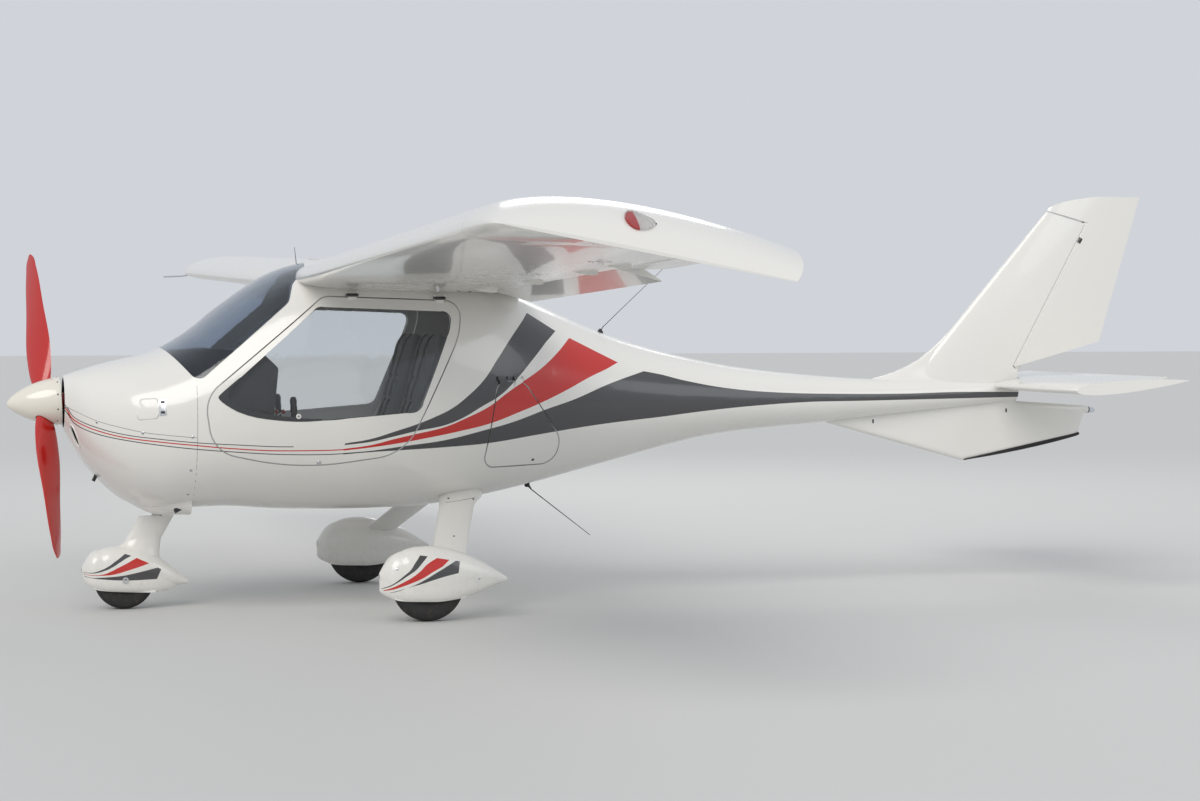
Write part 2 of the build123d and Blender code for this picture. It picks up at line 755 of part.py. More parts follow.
with BuildPart() as wing_left:
    loft(sections=[wing_section(out, *wing_row(out)) for out in (WING_ROOT_Y, WING_STRAIGHT)], ruled=True)
    tip = [wing_section(WING_STRAIGHT, *wing_row(WING_STRAIGHT))] + [wing_section(*row) for row in TIP_SECTIONS]
    loft(sections=tip)
    add(outer, mode=Mode.SUBTRACT)
    add(cove(FLAP_INNER, FLAP_OUTER), mode=Mode.SUBTRACT)
    add(cove(FLAP_OUTER + 2 * RUNNING_GAP, AILERON_OUTER), mode=Mode.SUBTRACT)
    add(surface_pins(FLAP_INNER, AILERON_OUTER, PIN_GAP), mode=Mode.SUBTRACT)
    (ring_station, ring_out, ring_r, ring_depth) = TIE_DOWN
    ring_height = underside_at(wing_left.part, ring_station, ring_out)
    hole_end = (ring_station, -ring_out, ring_height + ring_depth)
    add(rod((ring_station, -ring_out, ring_height - 20), hole_end, ring_r), mode=Mode.SUBTRACT)

with BuildPart() as flap_left:
    add(surface(FLAP_INNER, FLAP_OUTER, FLAP_AT_REST))

with BuildPart() as aileron_left:
    add(surface(FLAP_OUTER + 2 * RUNNING_GAP, AILERON_OUTER))


# Tail
def fin_section(height):
    """The fin and rudder's whole profile at a height, before they are parted."""
    share = (height - FIN_ROOT) / (FIN_TOP - FIN_ROOT)
    lead = FIN_LE_ROOT + share * (FIN_LE_TOP - FIN_LE_ROOT)
    chord = FIN_TE_ROOT + share * (FIN_TE_TOP - FIN_TE_ROOT) - lead
    return symmetric_section(Plane(origin=(at(lead), 0, height)), chord, FIN_THICKNESS)


def symmetric_section(plane, chord, thickness):
    """A tail surface's profile on a plane whose x runs along the chord."""
    half = thickness * chord / 2
    with BuildSketch(plane) as section:
        with BuildLine():
            Bezier((0, 0), (0, 1.04 * half), (0.38 * chord, 1.62 * half), (chord, EDGE / 2))
            Line((chord, EDGE / 2), (chord, -EDGE / 2))
            Bezier((chord, -EDGE / 2), (0.38 * chord, -1.62 * half), (0, -1.04 * half), (0, 0))
        make_face()
    return section.sketch


(hinge_low, hinge_high) = (Vector(at(station), 0, height) for station, height in RUDDER_HINGE)
rudder_axis = (hinge_high - hinge_low).normalized()


def hinge_cone(grow, overrun=0):
    """A cone about the rudder's hinge line, run past both its ends."""
    with BuildPart() as cone:
        for point, radius, side in zip((hinge_low, hinge_high), RUDDER_NOSE_R, (-1, 1)):
            with BuildSketch(Plane(origin=point + rudder_axis * side * overrun, z_dir=rudder_axis)):
                Circle(radius + grow)
        loft(ruled=True)
    return cone.part


def rudder_pin(grow):
    """The pin under the rudder, or its bore when grown."""
    with BuildPart() as pin:
        with BuildSketch(Plane(origin=hinge_low + rudder_axis * 10, z_dir=rudder_axis)):
            Circle(SURFACE_PIN_R + grow)
        extrude(amount=-10 - RUNNING_GAP - 2 * SURFACE_PIN - grow)
    return pin.part


with BuildPart() as tail_blank:
    loft(sections=[fin_section(FIN_ROOT), fin_section(FIN_TOP)], ruled=True)

with BuildPart() as rudder:
    add(tail_blank.part)
    add(prism(RUDDER_OUTLINE, -200, 200), mode=Mode.INTERSECT)
    add(hinge_cone(-1))
    add(rudder_pin(0))

with BuildPart() as fin:
    add(tail_blank.part)
    add(prism(RUDDER_OUTLINE, -200, 200, -HORN_GAP), mode=Mode.SUBTRACT)
    add(hinge_cone(RUNNING_GAP, RUNNING_GAP), mode=Mode.SUBTRACT)
    add(rudder_pin(PIN_GAP), mode=Mode.SUBTRACT)
    add(prism(BELOW_RUDDER, -200, 200), mode=Mode.SUBTRACT)
    add(pivot_bore, mode=Mode.SUBTRACT)
    add(outer, mode=Mode.SUBTRACT)

with BuildPart() as ventral_fin:
    add(prism(VENTRAL_OUTLINE, -VENTRAL_HALF, VENTRAL_HALF))
    add(outer, mode=Mode.SUBTRACT)

skid_rows = [(5130, 700, 0), (5128, 684, 0), (5145, 678 - SKID_DEPTH, 20), (5842, 807 - SKID_DEPTH, 14),
             (5856, 830, 8), (5836, 834, 0), (5828, 812, 0), (5150, 686, 0)]
with BuildPart() as tail_skid:
    add(prism(skid_rows, -VENTRAL_HALF - 4, VENTRAL_HALF + 4))
    add(ventral_fin.part, mode=Mode.SUBTRACT)

stab_start = Vector(at(STAB_LE), 0, STAB_LE_HEIGHT)
stab_end = Vector(at(STAB_TE), 0, STAB_TE_HEIGHT)
stab_chord = (stab_end - stab_start).length
stab_plane = Plane(origin=stab_start, x_dir=stab_end - stab_start, z_dir=(0, -1, 0))
tab_hinge = stab_plane.from_local_coords(Vector(stab_chord - TAB_CHORD, 0))


def tab_plane(out, turned=0):
    """A plane at the tab's hinge, its x along the tab, turned down by an angle."""
    slope = atan2(STAB_LE_HEIGHT - STAB_TE_HEIGHT, STAB_TE - STAB_LE) + radians(turned)
    origin = Vector(tab_hinge.X, -out, tab_hinge.Z)
    return Plane(origin=origin, x_dir=(cos(slope), 0, -sin(slope)), z_dir=(0, -1, 0))


tab_pin_end = TAB_OUTER + RUNNING_GAP + SURFACE_PIN

with BuildPart() as stabilator:
    with BuildSketch(stab_plane.offset(-STAB_HALF_SPAN)):
        add(symmetric_section(Plane.XY, stab_chord, STAB_THICKNESS))
    extrude(amount=2 * STAB_HALF_SPAN)
    notch_end = TAIL_END + 2 * RUNNING_GAP
    add(block((STAB_LE - 50, -STAB_NOTCH, 900), (notch_end, STAB_NOTCH, 1300)), mode=Mode.SUBTRACT)
    add(rod((STAB_PIVOT, -STAB_NOTCH - 5, pivot.Z), (STAB_PIVOT, STAB_NOTCH + 5, pivot.Z), STAB_TUBE_R))
    with BuildSketch(tab_plane(-TAB_OUTER - RUNNING_GAP)):
        Circle(TAB_NOSE_R + RUNNING_GAP)
        with Locations((TAB_CHORD, 0)):
            Rectangle(2 * TAB_CHORD, 2 * (TAB_NOSE_R + RUNNING_GAP))
    extrude(amount=2 * (TAB_OUTER + RUNNING_GAP), mode=Mode.SUBTRACT)
    with BuildSketch(tab_plane(-tab_pin_end - PIN_GAP)):
        Circle(TAB_PIN_R + PIN_GAP)
    extrude(amount=2 * (tab_pin_end + PIN_GAP), mode=Mode.SUBTRACT)

with BuildPart() as trim_tab:
    with BuildSketch(tab_plane(-TAB_OUTER, TAB_AT_REST)):
        with BuildLine():
            ThreePointArc((0, TAB_NOSE_R), (-TAB_NOSE_R, 0), (0, -TAB_NOSE_R))
            Line((0, -TAB_NOSE_R), (TAB_CHORD, -EDGE / 2))
            Line((TAB_CHORD, -EDGE / 2), (TAB_CHORD, EDGE / 2))
            Line((TAB_CHORD, EDGE / 2), (0, TAB_NOSE_R))
        make_face()
    extrude(amount=2 * TAB_OUTER)
    with BuildSketch(tab_plane(-tab_pin_end)):
        Circle(TAB_PIN_R)
    extrude(amount=2 * tab_pin_end)


# Undercarriage
def tyre_form(station, out, tyre_r, rim_r):
    """A round-shouldered tyre about its axle."""
    centre = Vector(at(station), out, tyre_r)
    half = TYRE_WIDTH / 2
    side = (tyre_r + rim_r) / 2
    seat = RIM_WIDTH / 2 - 8
    with BuildPart() as form:
        with BuildSketch(Plane(origin=centre, x_dir=(0, 1, 0), z_dir=(1, 0, 0))):
            with BuildLine():
                Line((-seat, rim_r), (seat, rim_r))
                Spline((seat, rim_r), (half, side), (half * 0.74, tyre_r - 8), (0, tyre_r),
                       (-half * 0.74, tyre_r - 8), (-half, side), (-seat, rim_r))
            make_face()
        revolve(axis=Axis(centre, (0, 1, 0)))
    return form.part


def rim_form(station, out, tyre_r, rim_r):
    """A turned rim with a hub bored for its axle."""
    centre = Vector(at(station), out, tyre_r)
    half = RIM_WIDTH / 2
    bore = AXLE_R + AXLE_CLEARANCE
    lip = rim_r - 8
    web = [(8, HUB_R_WHEEL + 4), (8, rim_r - 16), (half - 8, lip), (half - 8, rim_r)]
    right = [(half, bore), (half, HUB_R_WHEEL)] + web
    left = [(-out_along, radius) for out_along, radius in reversed(right)]
    with BuildPart() as form:
        with BuildSketch(Plane(origin=centre, x_dir=(0, 1, 0), z_dir=(1, 0, 0))):
            with BuildLine():
                Polyline(*right, *left, close=True)
            make_face()
        revolve(axis=Axis(centre, (0, 1, 0)))
    return form.part


def spat_shell(rows, centre, station, well):
    """A hollow wheel fairing, open below for its tyre."""
    (half_long, height) = well
    with BuildPart() as spat:
        add(hull(rows, 0, centre))
        add(hull(rows, SPAT_WALL, centre), mode=Mode.SUBTRACT)
        low = (station - half_long, centre - WELL_HALF, 0)
        add(block(low, (station + half_long, centre + WELL_HALF, height)), mode=Mode.SUBTRACT)
    return spat.part


main_out = TRACK / 2
main_sizes = (MAIN_AXLE, -main_out, MAIN_TYRE_R, MAIN_RIM_R)
nose_sizes = (NOSE_AXLE, 0, NOSE_TYRE_R, NOSE_RIM_R)

with BuildPart() as main_tyre_left:
    add(tyre_form(*main_sizes))

with BuildPart() as main_rim_left:
    add(rim_form(*main_sizes))

with BuildPart() as nose_tyre:
    add(tyre_form(*nose_sizes))

with BuildPart() as nose_rim:
    add(rim_form(*nose_sizes))

# Main leg: a flat sprung blade from the belly to a plate inside the fairing
leg_root = Vector(at(LEG_ROOT[0]), -LEG_ROOT[1], LEG_ROOT[2])
leg_foot = Vector(at(LEG_FOOT[0]), -LEG_FOOT[1], LEG_FOOT[2])
leg_along = (leg_foot - leg_root).normalized()


def leg_form(grow=0, share=1.0):
    """The leg's tapered blade, grown all round for its cuff."""
    end = leg_root + (leg_foot - leg_root) * share
    width = LEG_ROOT_SIZE[0] + (LEG_FOOT_SIZE[0] - LEG_ROOT_SIZE[0]) * share
    depth = LEG_ROOT_SIZE[1] + (LEG_FOOT_SIZE[1] - LEG_ROOT_SIZE[1]) * share
    with BuildPart() as blade:
        for point, wide, deep in ((leg_root, *LEG_ROOT_SIZE), (end, width, depth)):
            with BuildSketch(Plane(origin=point, x_dir=(1, 0, 0), z_dir=leg_along)):
                Ellipse(wide / 2 + grow, deep / 2 + grow)
        loft()
    return blade.part


plate_out = main_out - TYRE_WIDTH / 2 - RUNNING_GAP
with BuildPart() as main_leg_left:
    add(leg_form())
    add(block((1500, -plate_out, 0), (2600, -2000, 900)), mode=Mode.SUBTRACT)
    with BuildSketch(Plane.XZ.offset(plate_out - LEG_PLATE)):
        with Locations((at(MAIN_AXLE), MAIN_TYRE_R)):
            Circle(2 * LEG_PLATE)
        with Locations((at(LEG_FOOT[0]), LEG_FOOT[2])):
            Circle(LEG_PLATE * 1.6)
        make_hull()
    extrude(amount=LEG_PLATE)
    axle_end = main_out + RIM_WIDTH / 2 + RUNNING_GAP
    add(rod((MAIN_AXLE, -plate_out + 2, MAIN_TYRE_R), (MAIN_AXLE, -axle_end, MAIN_TYRE_R), AXLE_R))
    add(leg_form(CUFF, CUFF_SHARE))
    add(outer, mode=Mode.SUBTRACT)

with BuildPart() as main_spat_left:
    add(spat_shell(MAIN_SPAT, -main_out, MAIN_AXLE, MAIN_WELL))
    add(main_leg_left.part, mode=Mode.SUBTRACT)

# Nose leg: a faired tube, its fairing part of the wheel fairing's moulding
with BuildPart() as nose_leg:
    with BuildSketch(steer_plane(-60)):
        Ellipse(NOSE_LEG_WIDTH / 2, NOSE_LEG_CHORD / 2)
    extrude(amount=SLEEVE_FROM + 60)
    trim = OUTLET_SECTIONS[-1][1] - NOSE_LEG_GAP
    add(block((NOSE_AXLE - 250, -200, trim), (NOSE_AXLE + 600, 200, 1200)), mode=Mode.SUBTRACT)
    with BuildSketch(steer_plane(60)):
        Circle(STRUT_R)
    extrude(amount=SLEEVE_FROM + SLEEVE_LENGTH + PIN_GAP - 60)
    add(hull(NOSE_SPAT), mode=Mode.SUBTRACT)

def nose_bar(radius, start=-NOSE_AXLE_HALF, end=NOSE_AXLE_HALF):
    """A bar along the nose wheel's axle, between two distances out."""
    return rod((NOSE_AXLE, start, NOSE_TYRE_R), (NOSE_AXLE, end, NOSE_TYRE_R), radius)


with BuildPart() as nose_spat:
    add(spat_shell(NOSE_SPAT, 0, NOSE_AXLE, NOSE_WELL))
    add(nose_bar(COLLAR_R), mode=Mode.SUBTRACT)

# Axle with a collar through each side of the fairing, bored for a tow bar
with BuildPart() as nose_axle:
    add(nose_bar(AXLE_R))
    add(nose_bar(COLLAR_R, RIM_WIDTH / 2 + RUNNING_GAP, NOSE_AXLE_HALF))
    add(nose_bar(COLLAR_R, -RIM_WIDTH / 2 - RUNNING_GAP, -NOSE_AXLE_HALF))
    add(nose_bar(TOW_BORE_R), mode=Mode.SUBTRACT)

# Sleeve that carries the nose leg, on a bracket from the firewall
with BuildPart() as nose_mount:
    with BuildSketch(steer_plane(SLEEVE_FROM)):
        Circle(STRUT_R + SLEEVE_WALL)
    extrude(amount=SLEEVE_LENGTH)
    bracket = steer_foot + steer * (SLEEVE_FROM + SLEEVE_LENGTH / 2)
    with Locations(((bracket.X + at(COWL_JOINT)) / 2, 0, bracket.Z)):
        Box(at(COWL_JOINT) - bracket.X, BRACKET_WIDTH, BRACKET_HEIGHT)
    with BuildSketch(steer_plane(0)):
        Circle(STRUT_R + PIN_GAP)
    extrude(amount=3 * SLEEVE_LENGTH + SLEEVE_FROM, mode=Mode.SUBTRACT)

# Cabin
with BuildPart() as instrument_panel:
    add(prism(PANEL_OUTLINE, -900, 900))
    add(lining, mode=Mode.INTERSECT)

with BuildPart() as seat_pan:
    add(cabin_space.part)
    add(block((SEAT_FRONT, -900, 300), (SEAT_BACK + 40, 900, PAN_TOP)), mode=Mode.INTERSECT)

with BuildPart() as seat_left:
    add(prism(SEAT_OUTLINE, -SEAT_Y - SEAT_WIDTH / 2, -SEAT_Y + SEAT_WIDTH / 2))
    add(lining, mode=Mode.INTERSECT)

with BuildPart() as centre_console:
    add(prism(CONSOLE_OUTLINE, -CONSOLE_HALF, CONSOLE_HALF))
    add(cabin_space.part, mode=Mode.INTERSECT)
    add(seat_pan.part, mode=Mode.SUBTRACT)
    add(instrument_panel.part, mode=Mode.SUBTRACT)

pieces = {
    "fuselage": fuselage, "windshield": windshield,
    "door_left": door_left, "door_window_left": door_window_left, "hatch_left": hatch_left,
    "cowl_upper": cowl_upper, "cowl_lower": cowl_lower,
    "engine": engine, "propeller": propeller, "spinner": spinner,
    "wing_left": wing_left, "flap_left": flap_left, "aileron_left": aileron_left,
    "fin": fin, "rudder": rudder, "ventral_fin": ventral_fin, "tail_skid": tail_skid,
    "stabilator": stabilator, "trim_tab": trim_tab,
    "main_leg_left": main_leg_left, "main_spat_left": main_spat_left,
    "main_tyre_left": main_tyre_left, "main_rim_left": main_rim_left,
    "nose_leg": nose_leg, "nose_spat": nose_spat, "nose_axle": nose_axle,
    "nose_tyre": nose_tyre, "nose_rim": nose_rim, "nose_mount": nose_mount,
    "instrument_panel": instrument_panel, "seat_pan": seat_pan, "seat_left": seat_left,
    "centre_console": centre_console,
}
# The right-hand side is the left one's mirror image
for name in [name for name in pieces if name.endswith("_left")]:
    with BuildPart() as right_hand:
        mirror(pieces[name].part, about=Plane.XZ)
    pieces[name.replace("_left", "_right")] = right_hand

os.makedirs("parts", exist_ok=True)
for name, piece in pieces.items():
    piece.part.label = name
    export_step(piece.part, "parts/" + name + ".step")
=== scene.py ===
from math import cos, exp, pi, radians, sin

import bmesh
import bpy
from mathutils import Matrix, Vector
from mathutils.bvhtree import BVHTree


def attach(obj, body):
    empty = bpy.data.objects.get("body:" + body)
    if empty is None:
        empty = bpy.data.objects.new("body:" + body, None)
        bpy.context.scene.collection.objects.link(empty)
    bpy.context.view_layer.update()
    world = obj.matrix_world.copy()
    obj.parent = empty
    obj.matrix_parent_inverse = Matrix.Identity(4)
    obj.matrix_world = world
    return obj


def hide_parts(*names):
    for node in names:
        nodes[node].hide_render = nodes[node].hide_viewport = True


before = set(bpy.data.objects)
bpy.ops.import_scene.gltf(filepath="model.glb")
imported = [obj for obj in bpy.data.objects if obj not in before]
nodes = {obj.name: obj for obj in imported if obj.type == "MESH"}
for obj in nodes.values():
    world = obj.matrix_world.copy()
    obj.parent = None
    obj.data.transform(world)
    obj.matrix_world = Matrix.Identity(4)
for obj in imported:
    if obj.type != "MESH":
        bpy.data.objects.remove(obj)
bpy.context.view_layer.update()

# Stations run back from the spinner's tip, heights up from the ground, all in metres.
# A place on the side of the aircraft is a station and a height
HALF_LENGTH = 3.110
HALF_TRACK = 0.925
MAIN_WHEEL = (1.939, 0.175)
NOSE_WHEEL = (0.571, 0.150)
HUB = (0.178, 1.046)
THRUST_ANGLE = radians(3)
WHITE = (0.80, 0.785, 0.745, 1)
CREAM = (0.80, 0.76, 0.67, 1)
STRIPE_GREY = (0.062, 0.062, 0.066, 1)
STRIPE_RED = (0.56, 0.024, 0.018, 1)
EARTH = (0.20, 0.16, 0.11, 1)
BLACK = (0.012, 0.012, 0.013, 1)
SIDES = {"left": -1, "right": 1}


def at(station):
    """Model X of a station."""
    return station - HALF_LENGTH


# Camera, at the photograph's place and angle
camera = bpy.data.objects.new("camera", bpy.data.cameras.new("camera"))
bpy.context.scene.collection.objects.link(camera)
bpy.context.scene.camera = camera
camera.location = (-3.6242, -12.681, 1.4561)
camera.rotation_euler = (pi / 2 - 0.0325, 0, -0.275)
camera.data.sensor_width = 36
camera.data.sensor_fit = "HORIZONTAL"
camera.data.lens = 74.58


# Nodes of a material
def add_node(tree, kind, inputs=None, **settings):
    """A node with its settings, and its inputs by name or number."""
    made = tree.nodes.new(kind)
    for name, value in settings.items():
        setattr(made, name, value)
    for key, value in (inputs or {}).items():
        if isinstance(value, bpy.types.NodeSocket):
            tree.links.new(value, made.inputs[key])
        else:
            made.inputs[key].default_value = value
    return made


def calc(tree, operation, *values):
    """Output of one Math node."""
    return add_node(tree, "ShaderNodeMath", dict(enumerate(values)), operation=operation).outputs[0]


def ramp(tree, value, low, high):
    """0 to 1 as the value goes from low to high."""
    inputs = {"Value": value, "From Min": low, "From Max": high}
    return add_node(tree, "ShaderNodeMapRange", inputs).outputs[0]


def mix_colour(tree, factor, first, second):
    """The first colour where the factor is 0 and the second where it is 1."""
    return add_node(tree, "ShaderNodeMix", {0: factor, 6: first, 7: second}, data_type="RGBA").outputs[2]


def noise(tree, vector, scale, detail=3.0, roughness=0.5):
    """Cloudy values between 0 and 1."""
    inputs = {"Vector": vector, "Scale": scale, "Detail": detail, "Roughness": roughness}
    return add_node(tree, "ShaderNodeTexNoise", inputs).outputs[0]


def object_place(tree):
    """Place of the shaded point on the model, as one vector and as a node with X, Y and Z."""
    coords = add_node(tree, "ShaderNodeTexCoord").outputs["Object"]
    return coords, add_node(tree, "ShaderNodeSeparateXYZ", {0: coords})


def near(tree, value, middle, half):
    """1 where the value is less than a half width away from a middle."""
    away = calc(tree, "ABSOLUTE", calc(tree, "SUBTRACT", value, middle))
    return calc(tree, "LESS_THAN", away, half)


def new_group(name, inputs, outputs):
    """An empty shader node group with its sockets: the group, its input node and its output node."""
    group = bpy.data.node_groups.new(name, "ShaderNodeTree")
    kinds = {"colour": "NodeSocketColor", "value": "NodeSocketFloat"}
    for label, kind, default in inputs:
        socket = group.interface.new_socket(label, in_out="INPUT", socket_type=kinds[kind])
        socket.default_value = default
    for label, kind in outputs:
        group.interface.new_socket(label, in_out="OUTPUT", socket_type=kinds[kind])
    return group, group.nodes.new("NodeGroupInput"), group.nodes.new("NodeGroupOutput")


def curve_height(tree, station, rows, span, corners=()):
    """Height of a painted edge over the station, both as shares of the span's two ranges."""
    (x0, x1), (z0, z1) = span
    made = add_node(tree, "ShaderNodeFloatCurve", {"Value": station})
    line = made.mapping.curves[0]
    shares = [((x - x0) / (x1 - x0), (z - z0) / (z1 - z0)) for x, z in rows]
    line.points[0].location = shares[0]
    line.points[-1].location = shares[-1]
    for share in shares[1:-1]:
        line.points.new(*share)
    for index in range(len(shares)):
        line.points[index].handle_type = "VECTOR" if index in corners else "AUTO_CLAMPED"
    made.mapping.extend = "HORIZONTAL"
    made.mapping.update()
    return made.outputs[0]


def shares_of(tree, place, span):
    """Station and height of a point as shares of the span's ranges."""
    (x0, x1), (z0, z1) = span
    return (ramp(tree, place.outputs["X"], at(x0), at(x1)), ramp(tree, place.outputs["Z"], z0, z1))


def band(tree, shares, span, upper, lower, corners=()):
    """Mask between an upper and a lower edge that meet at the back."""
    station, height = shares
    top = curve_height(tree, station, upper, span, corners)
    bottom = curve_height(tree, station, lower, span, corners)
    mask = calc(tree, "MULTIPLY", calc(tree, "LESS_THAN", height, top),
                calc(tree, "GREATER_THAN", height, bottom))
    x0, x1 = span[0]
    first = (upper[0][0] - x0) / (x1 - x0)
    last = (upper[-1][0] - x0) / (x1 - x0)
    mask = calc(tree, "MULTIPLY", mask, calc(tree, "GREATER_THAN", station, first))
    return calc(tree, "MULTIPLY", mask, calc(tree, "LESS_THAN", station, last))


def pinstripe(tree, shares, span, rows, width, end=None):
    """Mask of a thin line of even width along a curve, up to an end station or the curve's last."""
    station, height = shares
    (x0, x1), (z0, z1) = span
    step = 0.006
    here = curve_height(tree, station, rows, span)
    ahead = curve_height(tree, calc(tree, "ADD", station, step), rows, span)
    slope = calc(tree, "MULTIPLY", calc(tree, "SUBTRACT", ahead, here), (z1 - z0) / (step * (x1 - x0)))
    lean = calc(tree, "SQRT", calc(tree, "ADD", 1.0, calc(tree, "MULTIPLY", slope, slope)))
    away = calc(tree, "DIVIDE", calc(tree, "ABSOLUTE", calc(tree, "SUBTRACT", height, here)), lean)
    mask = calc(tree, "LESS_THAN", away, width / 2 / (z1 - z0))
    end = end or rows[-1][0]
    return calc(tree, "MULTIPLY", mask, calc(tree, "LESS_THAN", station, (end - x0) / (x1 - x0)))


# Stripes: each span gives the stations and heights between which its rows of station and height lie
FRONT_SPAN = ((0.27, 1.75), (0.77, 1.05))
FRONT_DARK_UPPER = [(0.272, 1.040), (0.289, 1.0155), (0.317, 0.9744), (0.412, 0.9304), (0.548, 0.8963),
                    (0.707, 0.8764), (0.869, 0.8601), (1.054, 0.8484), (1.338, 0.8359), (1.60, 0.8459)]
FRONT_RED = [(0.272, 1.026), (0.288, 1.0045), (0.308, 0.9683), (0.355, 0.9389), (0.431, 0.9099),
             (0.548, 0.8826), (0.707, 0.8627), (0.870, 0.8463), (1.055, 0.8291), (1.265, 0.8166),
             (1.477, 0.8155), (1.60, 0.8185)]
FRONT_DARK_LOWER = [(0.272, 1.012), (0.290, 0.9883), (0.318, 0.945), (0.374, 0.9129), (0.451, 0.8886),
                    (0.548, 0.8698), (0.708, 0.8466), (0.870, 0.8282), (1.056, 0.8128), (1.266, 0.7991),
                    (1.479, 0.7949), (1.60, 0.7985)]
REAR_SPAN = ((1.55, 3.35), (0.76, 1.52))
REAR_DARK = (
    [(1.590, 0.8490), (1.714, 0.8686), (1.833, 0.9036), (1.968, 0.9463), (2.039, 0.974), (2.125, 1.0139),
     (2.213, 1.0768), (2.293, 1.1494), (2.376, 1.2593), (2.462, 1.370), (2.577, 1.4918), (2.730, 1.3984)],
    [(1.590, 0.8408), (1.714, 0.8546), (1.834, 0.8802), (1.948, 0.9057), (2.088, 0.9312), (2.184, 0.9665),
     (2.282, 1.0202), (2.382, 1.0742), (2.486, 1.1654), (2.576, 1.2572), (2.659, 1.3409), (2.730, 1.3984)],
)
REAR_RED = (
    [(1.585, 0.8220), (1.715, 0.8382), (1.834, 0.8667), (1.939, 0.8895), (2.089, 0.9222), (2.204, 0.9661),
     (2.322, 1.0195), (2.423, 1.0875), (2.503, 1.1377), (2.614, 1.2053), (2.705, 1.2746), (2.806, 1.3631),
     (3.077, 1.2346)],
    [(1.585, 0.8130), (1.716, 0.8267), (1.854, 0.8449), (1.995, 0.8683), (2.167, 0.9002), (2.324, 0.9341),
     (2.486, 0.9884), (2.620, 1.0373), (2.748, 1.0913), (2.916, 1.1684), (3.000, 1.2005), (3.050, 1.2230),
     (3.077, 1.2346)],
)
REAR_GREY = (
    [(1.585, 0.8010), (1.717, 0.8101), (1.902, 0.8329), (2.092, 0.8568), (2.305, 0.9037), (2.446, 0.9378),
     (2.652, 1.0036), (2.800, 1.0475), (3.022, 1.1289), (3.224, 1.188), (3.319, 1.1708), (3.345, 1.1650)],
    [(1.585, 0.7940), (1.717, 0.8035), (1.904, 0.8122), (2.094, 0.8214), (2.332, 0.8372), (2.598, 0.8722),
     (2.810, 0.8996), (3.023, 0.923), (3.314, 0.9484), (3.335, 0.9505), (3.340, 0.9512), (3.345, 0.9518)],
)
TAIL_SPAN = ((3.33, 5.50), (0.90, 1.20))
TAIL_GREY = (
    [(3.335, 1.1674), (3.475, 1.1339), (3.753, 1.0885), (4.034, 1.0665), (4.371, 1.0567), (4.730, 1.0536),
     (5.096, 1.0595), (5.47, 1.0565)],
    [(3.335, 0.9503), (3.547, 0.9726), (3.844, 0.9972), (4.221, 1.0161), (4.490, 1.0174), (4.731, 1.0199),
     (5.098, 1.0241), (5.47, 1.0287)],
)
UPPER_LINE_END = 1.338

# Dark door hinges: their middles and half sizes
DOOR_HINGES = ((1.640, 1.5775), (2.085, 1.5630))
HINGE_HALF_LONG = 0.031
HINGE_HALF_HIGH = 0.0085
CABIN_MIDDLE = 1.05

# Stripes of the wheel fairings, each between an upper and a lower edge
NOSE_SPAT_SPAN = ((0.36, 0.79), (0.13, 0.30))
NOSE_SPAT_BANDS = {
    "Grey": [
        ([(0.366, 0.1905), (0.409, 0.192), (0.451, 0.204), (0.486, 0.221), (0.517, 0.243), (0.544, 0.262),
          (0.570, 0.282), (0.602, 0.272)],
         [(0.366, 0.1885), (0.409, 0.188), (0.429, 0.190), (0.472, 0.2015), (0.508, 0.218), (0.543, 0.240),
          (0.574, 0.259), (0.602, 0.272)]),
        ([(0.372, 0.1725), (0.421, 0.1655), (0.481, 0.168), (0.542, 0.172), (0.595, 0.180), (0.649, 0.191),
          (0.733, 0.209), (0.751, 0.200)],
         [(0.372, 0.1700), (0.421, 0.1615), (0.472, 0.156), (0.538, 0.151), (0.604, 0.149), (0.671, 0.150),
          (0.728, 0.151), (0.751, 0.200)]),
    ],
    "Red": [
        ([(0.370, 0.1815), (0.429, 0.179), (0.464, 0.183), (0.494, 0.194), (0.534, 0.2135), (0.578, 0.235),
          (0.627, 0.261), (0.690, 0.232)],
         [(0.370, 0.1795), (0.429, 0.176), (0.494, 0.178), (0.533, 0.185), (0.569, 0.195), (0.604, 0.205),
          (0.649, 0.218), (0.690, 0.232)]),
    ],
}
MAIN_SPAT_SPAN = ((1.70, 2.11), (0.14, 0.34))
MAIN_SPAT_BANDS = {
    "Grey": [
        ([(1.706, 0.1650), (1.743, 0.183), (1.779, 0.207), (1.810, 0.232), (1.836, 0.254), (1.863, 0.292),
          (1.888, 0.325), (1.924, 0.320)],
         [(1.706, 0.1625), (1.743, 0.177), (1.755, 0.184), (1.797, 0.210), (1.829, 0.232), (1.862, 0.254),
          (1.895, 0.288), (1.924, 0.320)]),
        ([(1.742, 0.1480), (1.790, 0.161), (1.855, 0.183), (1.906, 0.208), (1.959, 0.2385), (2.013, 0.2685),
          (2.062, 0.295), (2.082, 0.291)],
         [(1.742, 0.1460), (1.790, 0.158), (1.817, 0.169), (1.881, 0.186), (1.945, 0.205), (2.011, 0.223),
          (2.073, 0.236), (2.082, 0.291)]),
    ],
    "Red": [
        ([(1.716, 0.1580), (1.755, 0.174), (1.804, 0.198), (1.842, 0.219), (1.881, 0.247), (1.921, 0.284),
          (1.969, 0.311), (2.030, 0.3005)],
         [(1.716, 0.1545), (1.755, 0.163), (1.798, 0.177), (1.842, 0.193), (1.900, 0.218), (1.946, 0.245),
          (1.993, 0.269), (2.030, 0.3005)]),
    ],
}


def join_masks(tree, masks):
    """1 where any of the masks is 1."""
    joined = masks[0]
    for mask in masks[1:]:
        joined = calc(tree, "MAXIMUM", joined, mask)
    return joined


